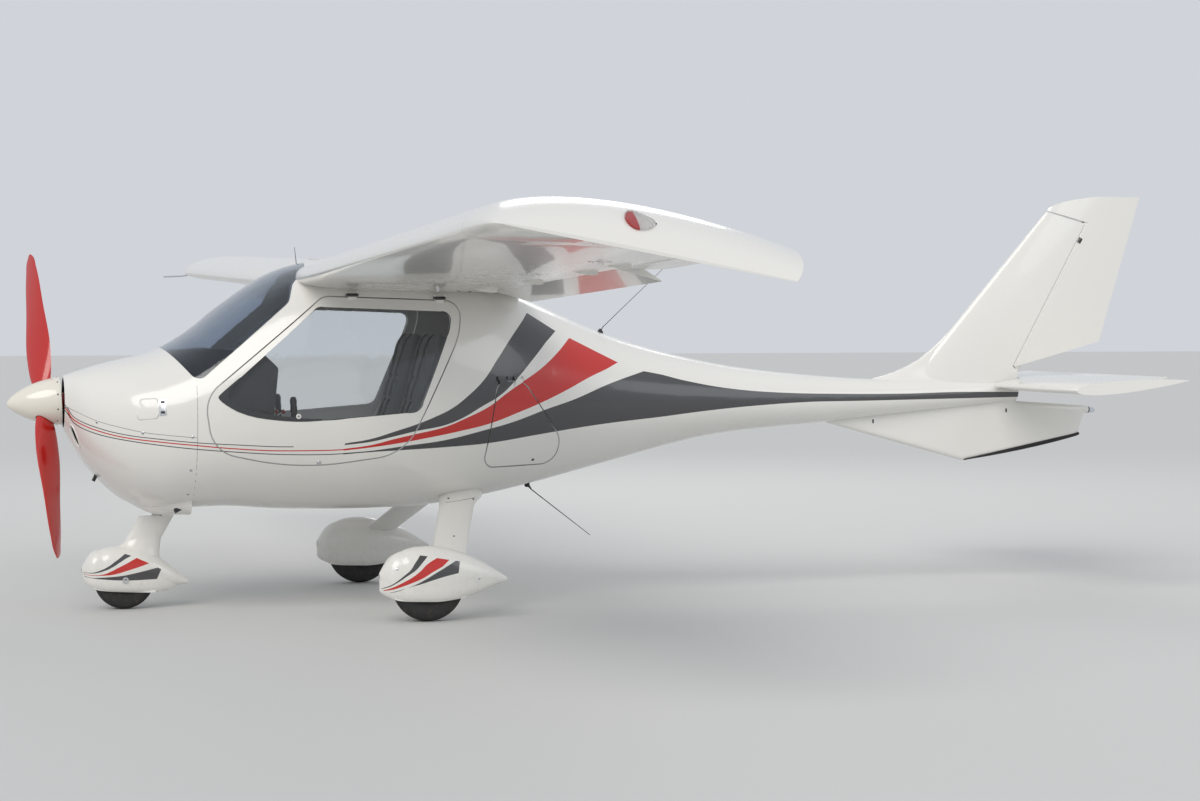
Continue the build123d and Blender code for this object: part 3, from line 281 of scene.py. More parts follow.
def outward(tree, place):
    """1 on the outside of the body and 0 inside the cabin."""
    geometry = add_node(tree, "ShaderNodeNewGeometry")
    normal = add_node(tree, "ShaderNodeSeparateXYZ", {0: geometry.outputs["Normal"]})
    across = calc(tree, "MULTIPLY", normal.outputs["Y"], place.outputs["Y"])
    above = calc(tree, "SUBTRACT", place.outputs["Z"], CABIN_MIDDLE)
    lifted = calc(tree, "MULTIPLY", normal.outputs["Z"], above)
    return calc(tree, "GREATER_THAN", calc(tree, "ADD", across, lifted), 0.0)


def body_livery():
    """The sweeping stripes along the body: masks of the grey and red paint and of the dark door hinges."""
    tree, _, end = new_group("body_livery", [], [("Grey", "value"), ("Red", "value"), ("Fitting", "value")])
    _, place = object_place(tree)
    outside = outward(tree, place)
    front = shares_of(tree, place, FRONT_SPAN)
    rear = shares_of(tree, place, REAR_SPAN)
    tail = shares_of(tree, place, TAIL_SPAN)
    grey = join_masks(tree, [
        pinstripe(tree, front, FRONT_SPAN, FRONT_DARK_UPPER, 0.0042, UPPER_LINE_END),
        pinstripe(tree, front, FRONT_SPAN, FRONT_DARK_LOWER, 0.0046),
        band(tree, rear, REAR_SPAN, *REAR_DARK, corners=(10, 11)),
        band(tree, rear, REAR_SPAN, *REAR_GREY, corners=(9, 11)),
        band(tree, tail, TAIL_SPAN, *TAIL_GREY),
    ])
    red = join_masks(tree, [
        pinstripe(tree, front, FRONT_SPAN, FRONT_RED, 0.0056),
        band(tree, rear, REAR_SPAN, *REAR_RED, corners=(11, 12)),
    ])
    fittings = []
    for middle, height in DOOR_HINGES:
        along = near(tree, place.outputs["X"], at(middle), HINGE_HALF_LONG)
        level = near(tree, place.outputs["Z"], height, HINGE_HALF_HIGH)
        fittings.append(calc(tree, "MULTIPLY", along, level))
    for mask, socket in ((grey, "Grey"), (red, "Red"), (join_masks(tree, fittings), "Fitting")):
        tree.links.new(calc(tree, "MULTIPLY", mask, outside), end.inputs[socket])
    return tree


def spat_livery(name, span, bands, out_from=None):
    """The three short stripes of a wheel fairing, only outside the given distance where there is one."""
    tree, _, end = new_group(name, [], [("Grey", "value"), ("Red", "value")])
    _, place = object_place(tree)
    shares = shares_of(tree, place, span)
    for socket, rows in bands.items():
        masks = [band(tree, shares, span, upper, lower, corners=(6, 7)) for upper, lower in rows]
        mask = join_masks(tree, masks)
        if out_from:
            out = calc(tree, "GREATER_THAN", calc(tree, "ABSOLUTE", place.outputs["Y"]), out_from)
            mask = calc(tree, "MULTIPLY", mask, out)
        tree.links.new(mask, end.inputs[socket])
    return tree


def weathering():
    """Dust thrown up from the ground, faint blotches and a fine surface texture."""
    inputs = [("Colour", "colour", WHITE), ("Dust Colour", "colour", EARTH), ("Dust", "value", 0.3),
              ("Roughness", "value", 0.2), ("Grain", "value", 60.0)]
    tree, start, end = new_group("weathering", inputs,
                                 [("Colour", "colour"), ("Roughness", "value"), ("Height", "value")])
    coords, place = object_place(tree)
    low = ramp(tree, place.outputs["Z"], 0.75, 0.08)
    specks = ramp(tree, noise(tree, coords, 38.0, 6.0, 0.7), 0.50, 0.72)
    blotches = ramp(tree, noise(tree, coords, 2.6, 4.0, 0.6), 0.42, 0.80)
    splash = calc(tree, "MULTIPLY", calc(tree, "MULTIPLY", low, low), specks)
    amount = calc(tree, "ADD", calc(tree, "MULTIPLY", blotches, 0.12), splash)
    amount = calc(tree, "MULTIPLY", amount, start.outputs["Dust"])
    tree.links.new(mix_colour(tree, amount, start.outputs["Colour"], start.outputs["Dust Colour"]),
                   end.inputs["Colour"])
    fine = noise(tree, coords, start.outputs["Grain"], 2.0)
    rougher = calc(tree, "ADD", start.outputs["Roughness"], calc(tree, "MULTIPLY", amount, 0.5))
    tree.links.new(calc(tree, "ADD", rougher, calc(tree, "MULTIPLY", fine, 0.04)), end.inputs["Roughness"])
    tree.links.new(fine, end.inputs["Height"])
    return tree


def weave():
    """Crossed threads of a cloth, as a shade and a height."""
    tree, start, end = new_group("weave", [("Threads", "value", 900.0)],
                                 [("Shade", "value"), ("Height", "value")])
    coords, place = object_place(tree)
    along = calc(tree, "ADD", place.outputs["X"], place.outputs["Z"])
    warp = calc(tree, "SINE", calc(tree, "MULTIPLY", along, start.outputs["Threads"]))
    weft = calc(tree, "SINE", calc(tree, "MULTIPLY", place.outputs["Y"], start.outputs["Threads"]))
    threads = calc(tree, "MULTIPLY", warp, weft)
    fuzz = noise(tree, coords, 220.0, 4.0)
    height = calc(tree, "ADD", threads, fuzz)
    tree.links.new(height, end.inputs["Height"])
    tree.links.new(ramp(tree, height, -1.0, 2.0), end.inputs["Shade"])
    return tree


GROUPS = {
    "body": body_livery(),
    "nose_spat": spat_livery("nose_spat_livery", NOSE_SPAT_SPAN, NOSE_SPAT_BANDS),
    "main_spat": spat_livery("main_spat_livery", MAIN_SPAT_SPAN, MAIN_SPAT_BANDS, HALF_TRACK),
    "weathering": weathering(),
    "weave": weave(),
}


def use_group(tree, key, inputs=None):
    """One of the node groups placed in a material."""
    return add_node(tree, "ShaderNodeGroup", inputs, node_tree=GROUPS[key])


def finish(name, colour, roughness, dust=0.1, grain=60.0, bump=0.02, depth=0.0005, livery=None, cloth=None,
           **shader):
    """A material with its dust and fine texture, its stripes or threads, and plain values on the shader."""
    material = bpy.data.materials.new(name)
    material.use_nodes = True
    tree = material.node_tree
    surface = tree.nodes["Principled BSDF"]
    height = None
    if livery:
        stripes = use_group(tree, livery)
        colour = mix_colour(tree, stripes.outputs["Grey"], colour, STRIPE_GREY)
        colour = mix_colour(tree, stripes.outputs["Red"], colour, STRIPE_RED)
        if "Fitting" in stripes.outputs:
            colour = mix_colour(tree, stripes.outputs["Fitting"], colour, BLACK)
    if cloth:
        threads = use_group(tree, "weave", {"Threads": cloth})
        darker = tuple(0.62 * c for c in colour[:3]) + (1,)
        colour = mix_colour(tree, threads.outputs["Shade"], darker, colour)
        height = threads.outputs["Height"]
    coat = use_group(tree, "weathering",
                     {"Colour": colour, "Dust": dust, "Roughness": roughness, "Grain": grain})
    tree.links.new(coat.outputs["Colour"], surface.inputs["Base Color"])
    tree.links.new(coat.outputs["Roughness"], surface.inputs["Roughness"])
    relief = add_node(tree, "ShaderNodeBump",
                      {"Height": height or coat.outputs["Height"], "Strength": bump, "Distance": depth})
    tree.links.new(relief.outputs[0], surface.inputs["Normal"])
    for key, value in shader.items():
        surface.inputs[key.replace("_", " ").title().replace("Ior", "IOR")].default_value = value
    return material


GLOSS = {"coat_weight": 0.45, "coat_roughness": 0.03, "coat_ior": 1.5}
CLEAR = {"dust": 0.0, "transmission_weight": 1.0}
COMPOSITE = {"dust": 0.16, "grain": 14.0, "bump": 0.05, **GLOSS}
gelcoat = finish("gelcoat", WHITE, 0.16, depth=0.002, **COMPOSITE)
striped = finish("striped_gelcoat", WHITE, 0.16, depth=0.002, livery="body", **COMPOSITE)
main_spat_paint = finish("main_spat_gelcoat", WHITE, 0.16, livery="main_spat", **COMPOSITE)
nose_spat_paint = finish("nose_spat_gelcoat", WHITE, 0.16, livery="nose_spat", **COMPOSITE)
leg_paint = finish("leg_gelcoat", WHITE, 0.18, dust=0.14, grain=14.0, bump=0.05, **GLOSS)
spinner_paint = finish("spinner_paint", CREAM, 0.14, dust=0.1, grain=20.0, bump=0.03, **GLOSS)
blade_paint = finish("blade_paint", (0.50, 0.015, 0.011, 1), 0.16, dust=0.06, grain=40.0, bump=0.03, **GLOSS)
shield_tint = finish("smoked_shield", (0.46, 0.52, 0.60, 1), 0.015, grain=5.0, bump=0.01, ior=1.49, **CLEAR)
window_tint = finish("clear_window", (0.90, 0.92, 0.93, 1), 0.01, grain=5.0, bump=0.01, ior=1.49, **CLEAR)
tyre_rubber = finish("tyre_rubber", (0.020, 0.020, 0.021, 1), 0.78, dust=0.22, grain=240.0, bump=0.3)
# Dark gloss of the window corner plates: the dark panel's own colour and painted shade of the cabin seen
# through the glass
window_corner_shade = finish("window_corner_shade", (0.034, 0.036, 0.040, 1), 0.12, dust=0.05, grain=60.0, bump=0.03, **GLOSS)
trim_rubber = finish("trim_rubber", (0.016, 0.016, 0.017, 1), 0.6, dust=0.2, grain=160.0, bump=0.2)
edge_grey = finish("edge_grey", (0.42, 0.42, 0.41, 1), 0.5, dust=0.1, grain=160.0, bump=0.1)
skid_rubber = finish("skid_rubber", (0.014, 0.014, 0.015, 1), 0.66, dust=0.5, grain=120.0, bump=0.4,
                     depth=0.002)
rim_metal = finish("rim_metal", (0.62, 0.63, 0.65, 1), 0.30, dust=0.3, grain=90.0, bump=0.1, metallic=1.0)
bright_steel = finish("bright_steel", (0.66, 0.67, 0.69, 1), 0.16, dust=0.05, grain=120.0, bump=0.05,
                      metallic=1.0)
# Dark steel of real parts, also used for slots and openings drawn as dark plates of painted shade
dark_steel_and_shade = finish("dark_steel_and_shade", (0.045, 0.046, 0.05, 1), 0.42, dust=0.15, grain=120.0, bump=0.15,
                    metallic=0.6)
cast_metal = finish("cast_metal", (0.055, 0.056, 0.06, 1), 0.55, dust=0.1, grain=260.0, bump=0.5,
                    metallic=0.7)
panel_black = finish("panel_black", (0.022, 0.023, 0.026, 1), 0.62, dust=0.05, grain=900.0, bump=0.35)
console_grey = finish("console_grey", (0.055, 0.056, 0.060, 1), 0.55, dust=0.05, grain=700.0, bump=0.3)
pan_grey = finish("pan_grey", (0.15, 0.155, 0.165, 1), 0.5, dust=0.05, grain=500.0, bump=0.2)
# Black of joints and dial faces, also used for slots and a pipe's depths drawn as painted shade
black_and_painted_shade = finish("black_and_painted_shade", (0.010, 0.010, 0.011, 1), 0.7, dust=0.0, grain=80.0, bump=0.1)
seat_cloth = finish("seat_cloth", (0.235, 0.245, 0.265, 1), 0.9, dust=0.0, cloth=1500.0, bump=0.5,
                    depth=0.001, sheen_weight=0.25, sheen_roughness=0.5)
side_cloth = finish("side_cloth", (0.050, 0.054, 0.062, 1), 0.92, dust=0.0, cloth=1100.0, bump=0.4,
                    depth=0.001, sheen_weight=0.2, sheen_roughness=0.5)
webbing = finish("webbing", (0.018, 0.018, 0.020, 1), 0.8, dust=0.0, cloth=2600.0, bump=0.6, depth=0.001)
frosted_lens = finish("frosted_lens", (0.66, 0.70, 0.74, 1), 0.22, dust=0.05, grain=160.0, bump=0.05, **GLOSS)
clear_lens = finish("clear_lens", (0.93, 0.94, 0.95, 1), 0.02, grain=60.0, bump=0.05, ior=1.46, **CLEAR)
red_lens = finish("red_lens", (0.62, 0.02, 0.015, 1), 0.06, dust=0.0, grain=60.0, bump=0.05, **GLOSS)
green_lens = finish("green_lens", (0.01, 0.26, 0.09, 1), 0.06, dust=0.0, grain=60.0, bump=0.05, **GLOSS)
dial_white = finish("dial_white", (0.62, 0.62, 0.58, 1), 0.5, dust=0.0, grain=200.0, bump=0.05)
screen_glass = finish("screen_glass", (0.015, 0.03, 0.035, 1), 0.05, dust=0.0, grain=20.0, bump=0.01, **GLOSS)
knob_red = finish("knob_red", (0.50, 0.02, 0.015, 1), 0.35, dust=0.0, grain=300.0, bump=0.1)

# The nodes that each material covers
PAINTS = {
    striped: ("fuselage", "door_left", "door_right", "hatch_left", "hatch_right", "cowl_upper", "cowl_lower"),
    gelcoat: ("wing_left", "wing_right", "flap_left", "flap_right", "aileron_left", "aileron_right", "fin",
              "rudder", "ventral_fin", "stabilator", "trim_tab"),
    leg_paint: ("main_leg_left", "main_leg_right", "nose_leg"),
    main_spat_paint: ("main_spat_left", "main_spat_right"),
    nose_spat_paint: ("nose_spat",),
    shield_tint: ("windshield",),
    window_tint: ("door_window_left", "door_window_right"),
    blade_paint: ("propeller",),
    spinner_paint: ("spinner",),
    cast_metal: ("engine",),
    skid_rubber: ("tail_skid",),
    tyre_rubber: ("main_tyre_left", "main_tyre_right", "nose_tyre"),
    rim_metal: ("main_rim_left", "main_rim_right", "nose_rim"),
    bright_steel: ("nose_axle",),
    dark_steel_and_shade: ("nose_mount",),
    panel_black: ("instrument_panel",),
    pan_grey: ("seat_pan",),
    console_grey: ("centre_console",),
    seat_cloth: ("seat_left", "seat_right"),
}
for paint, painted in PAINTS.items():
    for name in painted:
        slots = nodes[name].material_slots
        for slot in slots:
            slot.material = paint
        if not len(slots):
            nodes[name].data.materials.append(paint)

# The record's slot listed for a small piece of each material, where its call names no other; add_piece looks
# it up and uses it for nothing
SLOTS = {
    bright_steel: "nose_axle", dark_steel_and_shade: "nose_mount", rim_metal: "main_rim_left", cast_metal: "engine",
    trim_rubber: "main_tyre_left", skid_rubber: "tail_skid", edge_grey: "seat_pan",
    console_grey: "centre_console", black_and_painted_shade: "instrument_panel", window_corner_shade: "instrument_panel",
    screen_glass: "instrument_panel", side_cloth: "seat_left", dial_white: "fuselage",
    nose_spat_paint: "nose_spat", clear_lens: "door_window_left", frosted_lens: "door_window_left",
    red_lens: "propeller", green_lens: "propeller", knob_red: "propeller",
}


# Shapes, each as points and faces
def merged(*shapes):
    """Several shapes as one."""
    points, faces = [], []
    for more_points, more_faces in shapes:
        start = len(points)
        points += [Vector(p) for p in more_points]
        faces += [[start + i for i in face] for face in more_faces]
    return points, faces


def add_piece(name, shape, material, body="airframe", slot=None, sharp=35):
    """A mesh object from a shape, riding on a body. Edges sharper than an angle in degrees stay sharp."""
    slot = slot or SLOTS[material]
    mesh = bpy.data.meshes.new(name)
    mesh.from_pydata([tuple(p) for p in shape[0]], [], shape[1])
    work = bmesh.new()
    work.from_mesh(mesh)
    bmesh.ops.remove_doubles(work, verts=work.verts, dist=0.00001)
    bmesh.ops.dissolve_degenerate(work, edges=work.edges, dist=0.00001)
    bmesh.ops.recalc_face_normals(work, faces=work.faces)
    for face in work.faces:
        face.smooth = True
    work.to_mesh(mesh)
    work.free()
    mesh.set_sharp_from_angle(angle=radians(sharp))
    mesh.materials.append(material)
    made = bpy.data.objects.new(name, mesh)
    bpy.context.scene.collection.objects.link(made)
    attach(made, body)
    return made


def rings(rows, closed_round=True, closed_along=False, caps=False):
    """Faces between rows of points of equal number."""
    count = len(rows[0])
    points = [p for row in rows for p in row]
    faces = []
    for i in range(len(rows) if closed_along else len(rows) - 1):
        for j in range(count if closed_round else count - 1):
            a = i * count + j
            b = i * count + (j + 1) % count
            c = (i + 1) % len(rows) * count
            faces.append([a, b, c + (j + 1) % count, c + j])
    if caps:
        faces.append(list(range(count))[::-1])
        faces.append([(len(rows) - 1) * count + j for j in range(count)])
    return points, faces


def lathe(profile, centre, axis, segments=24, closed=False):
    """Turned form from rows of radius and distance along the axis."""
    axis = Vector(axis).normalized()
    side = axis.orthogonal().normalized()
    up = axis.cross(side)
    rows = []
    for radius, along in profile:
        row = []
        for i in range(segments):
            angle = 2 * pi * i / segments
            row.append(Vector(centre) + axis * along + (side * cos(angle) + up * sin(angle)) * radius)
        rows.append(row)
    return rings(rows, closed_along=closed)


def tube(path, radius, sides=10, closed=False):
    """Round bar along a path, its radius one number or one for each point."""
    path = [Vector(p) for p in path]
    count = len(path)
    radii = radius if isinstance(radius, (list, tuple)) else [radius] * count
    rows = []
    side = None
    for i, point in enumerate(path):
        before = path[i - 1] if i or closed else path[i]
        after = path[(i + 1) % count] if i < count - 1 or closed else path[i]
        ahead = (after - before).normalized()
        if side is None:
            side = ahead.orthogonal().normalized()
        side = (side - ahead * side.dot(ahead)).normalized()
        up = ahead.cross(side)
        row = []
        for j in range(sides):
            angle = 2 * pi * j / sides
            row.append(point + (side * cos(angle) + up * sin(angle)) * radii[i])
        rows.append(row)
    return rings(rows, closed_along=closed, caps=not closed)


def strap(path, normals, width, thick):
    """Flat band along a path that lies with its back to the normals."""
    path = [Vector(p) for p in path]
    rows = []
    for i, point in enumerate(path):
        ahead = (path[min(i + 1, len(path) - 1)] - path[max(i - 1, 0)]).normalized()
        up = Vector(normals[i] if isinstance(normals, list) else normals)
        up = (up - ahead * up.dot(ahead)).normalized()
        side = ahead.cross(up) * width / 2
        rise = up * thick
        rows.append([point - side, point + side, point + side * 0.98 + rise, point - side * 0.98 + rise])
    return rings(rows, caps=True)


def smooth_path(points, per=8):
    """Points along a smooth curve through the given ones."""
    points = [Vector(p) for p in points]
    padded = [points[0] * 2 - points[1]] + points + [points[-1] * 2 - points[-2]]
    path = []
    for i in range(1, len(padded) - 2):
        a, b, c, d = padded[i - 1:i + 3]
        for k in range(per):
            t = k / per
            path.append(0.5 * (2 * b + (c - a) * t + (2 * a - 5 * b + 4 * c - d) * t ** 2
                               + (3 * b - a - 3 * c + d) * t ** 3))
    return path + [points[-1]]


def rounded(corners, radius, per=6):
    """Closed outline with its corners turned into arcs, the radius one number or one for each corner."""
    result = []
    count = len(corners)
    for i in range(count):
        before, here, after = Vector(corners[i - 1]), Vector(corners[i]), Vector(corners[(i + 1) % count])
        arc = radius[i] if isinstance(radius, (list, tuple)) else radius
        half_turn = (pi - (before - here).angle(after - here)) / 2
        cut = arc * sin(half_turn) / cos(half_turn)
        first = here + (before - here).normalized() * cut
        last = here + (after - here).normalized() * cut
        for k in range(per + 1):
            t = k / per
            weights = ((1 - t) ** 2, 2 * t * (1 - t) * cos(half_turn), t ** 2)
            result.append((first * weights[0] + here * weights[1] + last * weights[2]) / sum(weights))
    return result


def rectangle(centre, half_wide, half_high, radius):
    """Closed outline with rounded corners round a flat centre."""
    (x, y), w, h = centre, half_wide, half_high
    return rounded([(x - w, y - h), (x + w, y - h), (x + w, y + h), (x - w, y + h)], radius)


def inset(corners, depth):
    """Corners of a closed outline moved inwards, the outline running anticlockwise."""
    moved = []
    for i in range(len(corners)):
        before, here, after = (Vector(corners[(i + k) % len(corners)]) for k in (-1, 0, 1))
        first, last = (here - before).normalized(), (after - here).normalized()
        inward = Vector((-first.y - last.y, first.x + last.x)).normalized()
        moved.append(here + inward * depth / max(inward.dot(Vector((-first.y, first.x))), 0.35))
    return moved


def mirrored(shape):
    """The shape on the other side of the plane of symmetry."""
    return [Vector((p.x, -p.y, p.z)) for p in shape[0]], [face[::-1] for face in shape[1]]


def ellipse(centre, half_wide, half_high, count=32):
    """Closed outline round a flat centre."""
    x, y = centre
    turns = [2 * pi * i / count for i in range(count)]
    return [Vector((x + half_wide * cos(turn), y + half_high * sin(turn))) for turn in turns]


# Laying pieces on the CAD surfaces
def skin(*objects):
    """Search tree over the faces of some objects, for the casts below."""
    shapes = []
    for made in objects:
        faces = [list(face.vertices) for face in made.data.polygons]
        shapes.append(([vert.co for vert in made.data.vertices], faces))
    return BVHTree.FromPolygons(*merged(*shapes))


# Surfaces that pieces are laid on, and the nodes each is made of. The legs and the seat follow below
SURFACES = {
    "body": ("fuselage", "cowl_upper", "cowl_lower"),
    "door_left": ("door_left",),
    "door_right": ("door_right",),
    "window_left": ("door_window_left", "door_left"),
    "window_right": ("door_window_right", "door_right"),
    "hatch_left": ("hatch_left",),
    "hatch_right": ("hatch_right",),
    "spat_left": ("main_spat_left",),
    "spat_right": ("main_spat_right",),
    "nose_spat": ("nose_spat",),
    "wing_left": ("wing_left", "aileron_left", "flap_left"),
    "wing_right": ("wing_right", "aileron_right", "flap_right"),
    "tail": ("fin", "rudder"),
    "ventral": ("ventral_fin",),
    "panel": ("instrument_panel",),
    "spinner": ("spinner",),
}
for surface, names in SURFACES.items():
    SURFACES[surface] = skin(*[nodes[name] for name in names])


def hit(surface, start, direction):
    """Point and normal where a ray first meets a surface, the normal facing the ray's start."""
    direction = Vector(direction).normalized()
    point, normal, _, _ = SURFACES[surface].ray_cast(Vector(start), direction)
    if point is None:
        along = [SURFACES[surface].find_nearest(Vector(start) + direction * 0.05 * k) for k in range(180)]
        point, normal, _, _ = min(along, key=lambda found: found[3])
    if normal.dot(direction) > 0:
        normal = -normal
    return point, normal


FAR_OUT = 6.0


def from_side(surface, station, height, side):
    """Point and normal on a surface as seen from the left or the right."""
    return hit(surface, (at(station), side * FAR_OUT, height), (0, -side, 0))


def from_front(surface, y, z):
    """Point and normal on a surface as seen from ahead of the aircraft."""
    return hit(surface, (at(-0.4), y, z), (1, 0, 0))


def from_below(surface, station, y):
    """Point and normal on the underside of a wing."""
    return hit(surface, (at(station), y, 1.2), (0, 0, 1))


def from_above(surface, station, y):
    """Point and normal on the top of a wing."""
    return hit(surface, (at(station), y, 2.4), (0, 0, -1))


def from_cabin(surface, y, z):
    """Point and normal on the instrument panel as seen from the seats."""
    return hit(surface, (at(1.7), y, z), (-1, 0, 0))


def laid(surface, outline, cast, lift=0.0012, depth=0.003, shares=(0.82, 0.6, 0.35)):
    """A thin plate over an outline, with cast giving point and normal on the surface for a flat point. The
    shares are the sizes of the rings of points inside its edge."""
    centre = sum(outline, Vector((0, 0))) / len(outline)
    rows = []
    edge = [(1.0, lift - depth), (1.0, lift * 0.6), (0.985, lift)]
    for share, rise in edge + [(share, lift) for share in shares]:
        row = []
        for flat in outline:
            point, normal = cast(surface, *(centre + (flat - centre) * share))
            row.append(point + normal * rise)
        rows.append(row)
    point, normal = cast(surface, *centre)
    rows.append([point + normal * lift] * len(outline))
    return rings(rows)


def traced(surface, outline, cast, radius=0.0012, closed=True, rise=-0.0004):
    """A thin line along an outline on a surface."""
    path = []
    for flat in outline:
        point, normal = cast(surface, *flat)
        path.append(point + normal * rise)
    return tube(path, radius, sides=6, closed=closed)


def side_cast(side):
    """A cast for laid and traced that looks from one side."""
    return lambda surface, station, height: from_side(surface, station, height, side)


def screw(point, normal, radius=0.006, height=0.0022):
    """Domed head with a rim."""
    profile = [(radius, -0.002), (radius, height * 0.35), (radius * 0.86, height * 0.8),
               (radius * 0.45, height), (0, height * 0.92)]
    return lathe(profile, point, normal, 14)


def slot_mark(point, normal, radius=0.006, height=0.0022, turn=0.6):
    """Screwdriver slot across a head, drawn as a black line of painted shade."""
    side = normal.orthogonal().normalized()
    across = side * cos(turn) + normal.cross(side) * sin(turn)
    ends = [point + normal * (height - 0.0001) + across * radius * share for share in (-0.75, 0.75)]
    return strap(ends, normal, radius * 0.28, 0.0004)


# Cowling: seams, quarter-turn fasteners, oil door with its latch, inlet lips and pipes
COWL_STUDS = ((0.280, 1.024), (0.414, 0.956), (0.622, 0.906), (0.854, 0.887), (0.850, 0.723), (0.849, 0.598))
COWL_SPLIT = ((0.285, 1.024), (0.340, 0.996), (0.415, 0.962), (0.520, 0.933), (0.636, 0.908), (0.760, 0.894),
              (0.872, 0.884))
STUD_SIZE = (0.0075, 0.002)
SEAM = 0.0011
NOSTRIL_OUT = 0.168
NOSTRIL_HEIGHT = 0.882
RADIATOR_STATION = 0.385
TAILPIPE_END = (at(0.822), -0.262, 0.508)
TAILPIPE_RUN = (0.45, -0.15, -0.88)
TAILPIPE_BORE = 0.022
CYLINDERS = [(side, station) for side in (-1, 1) for station in (0.53, 0.72)]
for label, side in SIDES.items():
    cast = side_cast(side)
    studs = [from_side("body", *spot, side) for spot in COWL_STUDS]
    add_piece("cowl_studs_" + label, merged(*[screw(p, n, *STUD_SIZE) for p, n in studs]), bright_steel)
    # The studs' slots are black lines of painted shade
    slots = [slot_mark(p, n, *STUD_SIZE, k) for k, (p, n) in enumerate(studs)]
    add_piece("cowl_stud_slots_" + label, merged(*slots), black_and_painted_shade)
    split = smooth_path([Vector((s, z, 0)) for s, z in COWL_SPLIT], 5)
    joint = [Vector((0.8765, 0.56 + 0.036 * k)) for k in range(17)]
    seams = [traced("body", line, cast, SEAM, False) for line in ([(p.x, p.y) for p in split], joint)]
    add_piece("cowl_seams_" + label, merged(*seams), black_and_painted_shade)

oil_door = rounded([(0.595, 0.969), (0.694, 0.979), (0.692, 1.075), (0.612, 1.070)], 0.014)
add_piece("oil_door", laid("body", oil_door, side_cast(-1), 0.0014), gelcoat, slot="cowl_upper")
add_piece("oil_door_seam", traced("body", oil_door, side_cast(-1), 0.0014), black_and_painted_shade)
latch = rounded([(0.699, 0.990), (0.733, 0.994), (0.731, 1.073), (0.697, 1.070)], 0.004)
add_piece("oil_door_latch", laid("body", latch, side_cast(-1), 0.0032, 0.005), bright_steel)
# The latch's two slots, as dark plates of painted shade
latch_slots = []
for z in (1.001, 1.050):
    outline = rounded([(0.706, z), (0.726, z + 0.001), (0.726, z + 0.013), (0.706, z + 0.012)], 0.003)
    latch_slots.append(laid("body", outline, side_cast(-1), 0.0038, 0.002))
add_piece("oil_door_latch_slots", merged(*latch_slots), dark_steel_and_shade)

for label, side in SIDES.items():
    lip = ellipse((side * NOSTRIL_OUT, NOSTRIL_HEIGHT), 0.0275, 0.0555, 40)
    lip = traced("body", lip, from_front, 0.0055, rise=-0.0015)
    add_piece("inlet_lip_" + label, lip, gelcoat, slot="cowl_lower")
    fins = []
    middle = Vector((at(RADIATOR_STATION), side * NOSTRIL_OUT, NOSTRIL_HEIGHT))
    for k in range(15):
        ends = [middle + Vector((0, out, 0.008 * k - 0.056)) for out in (-0.036, 0.036)]
        fins.append(strap(ends, (0, 0, 1), 0.022, 0.0012))
    for k in range(7):
        ends = [middle + Vector((0, 0.011 * k - 0.033, rise)) for rise in (-0.058, 0.058)]
        fins.append(strap(ends, (0, 1, 0), 0.018, 0.001))
    add_piece("radiator_" + label, merged(*fins), rim_metal)

breather = smooth_path([(at(0.455), -0.085, 0.735), (at(0.438), -0.085, 0.705), (at(0.424), -0.085, 0.672),
                        (at(0.414), -0.085, 0.652)], 4)
add_piece("breather_tube", tube(breather, 0.009, 14), trim_rubber)
pipe_wall = [(0.026, -0.10), (0.026, 0.002), (TAILPIPE_BORE, 0.002), (TAILPIPE_BORE, -0.10)]
tailpipe = lathe(pipe_wall, TAILPIPE_END, TAILPIPE_RUN, 28, closed=True)
add_piece("exhaust_tailpipe", tailpipe, dark_steel_and_shade)
# A black disc deep inside the tailpipe: painted shade for the dark inside of the pipe
shade_plug = lathe([(TAILPIPE_BORE, -0.09), (0, -0.088)], TAILPIPE_END, TAILPIPE_RUN, 24)
add_piece("exhaust_dark", shade_plug, black_and_painted_shade)

# Engine fittings that show through the inlets and the outlet
cylinders = []
pipes = []
for side, station in CYLINDERS:
    for k in range(9):
        cylinders.append(lathe([(0.0, 0), (0.060, 0), (0.060, 0.004), (0.0, 0.004)],
                               (at(station), side * (0.185 + 0.011 * k), 0.93), (0, side, 0), 20))
    pipe = smooth_path([(at(station), side * 0.24, 0.86), (at(station), side * 0.245, 0.78),
                        (at(station + 0.03), side * 0.20, 0.71), (at(0.70), side * 0.10, 0.68)], 6)
    pipes.append(tube(pipe, 0.019, 14))
add_piece("cylinder_fins", merged(*cylinders), cast_metal)
add_piece("exhaust_pipes", merged(*pipes), dark_steel_and_shade)

# Screws round the spinner's back edge
hub = Vector((at(HUB[0]), 0, HUB[1]))
thrust = Vector((cos(THRUST_ANGLE), 0, sin(THRUST_ANGLE)))
spinner_screws = []
for k in range(10):
    angle = 2 * pi * (k + 0.5) / 10
    side = Vector((0, cos(angle), sin(angle)))
    point, normal = hit("spinner", hub + thrust * 0.066 + side * 0.4, -side)
    spinner_screws.append(screw(point, normal, 0.0042, 0.0014))
add_piece("spinner_screws", merged(*spinner_screws), dark_steel_and_shade, "propeller")

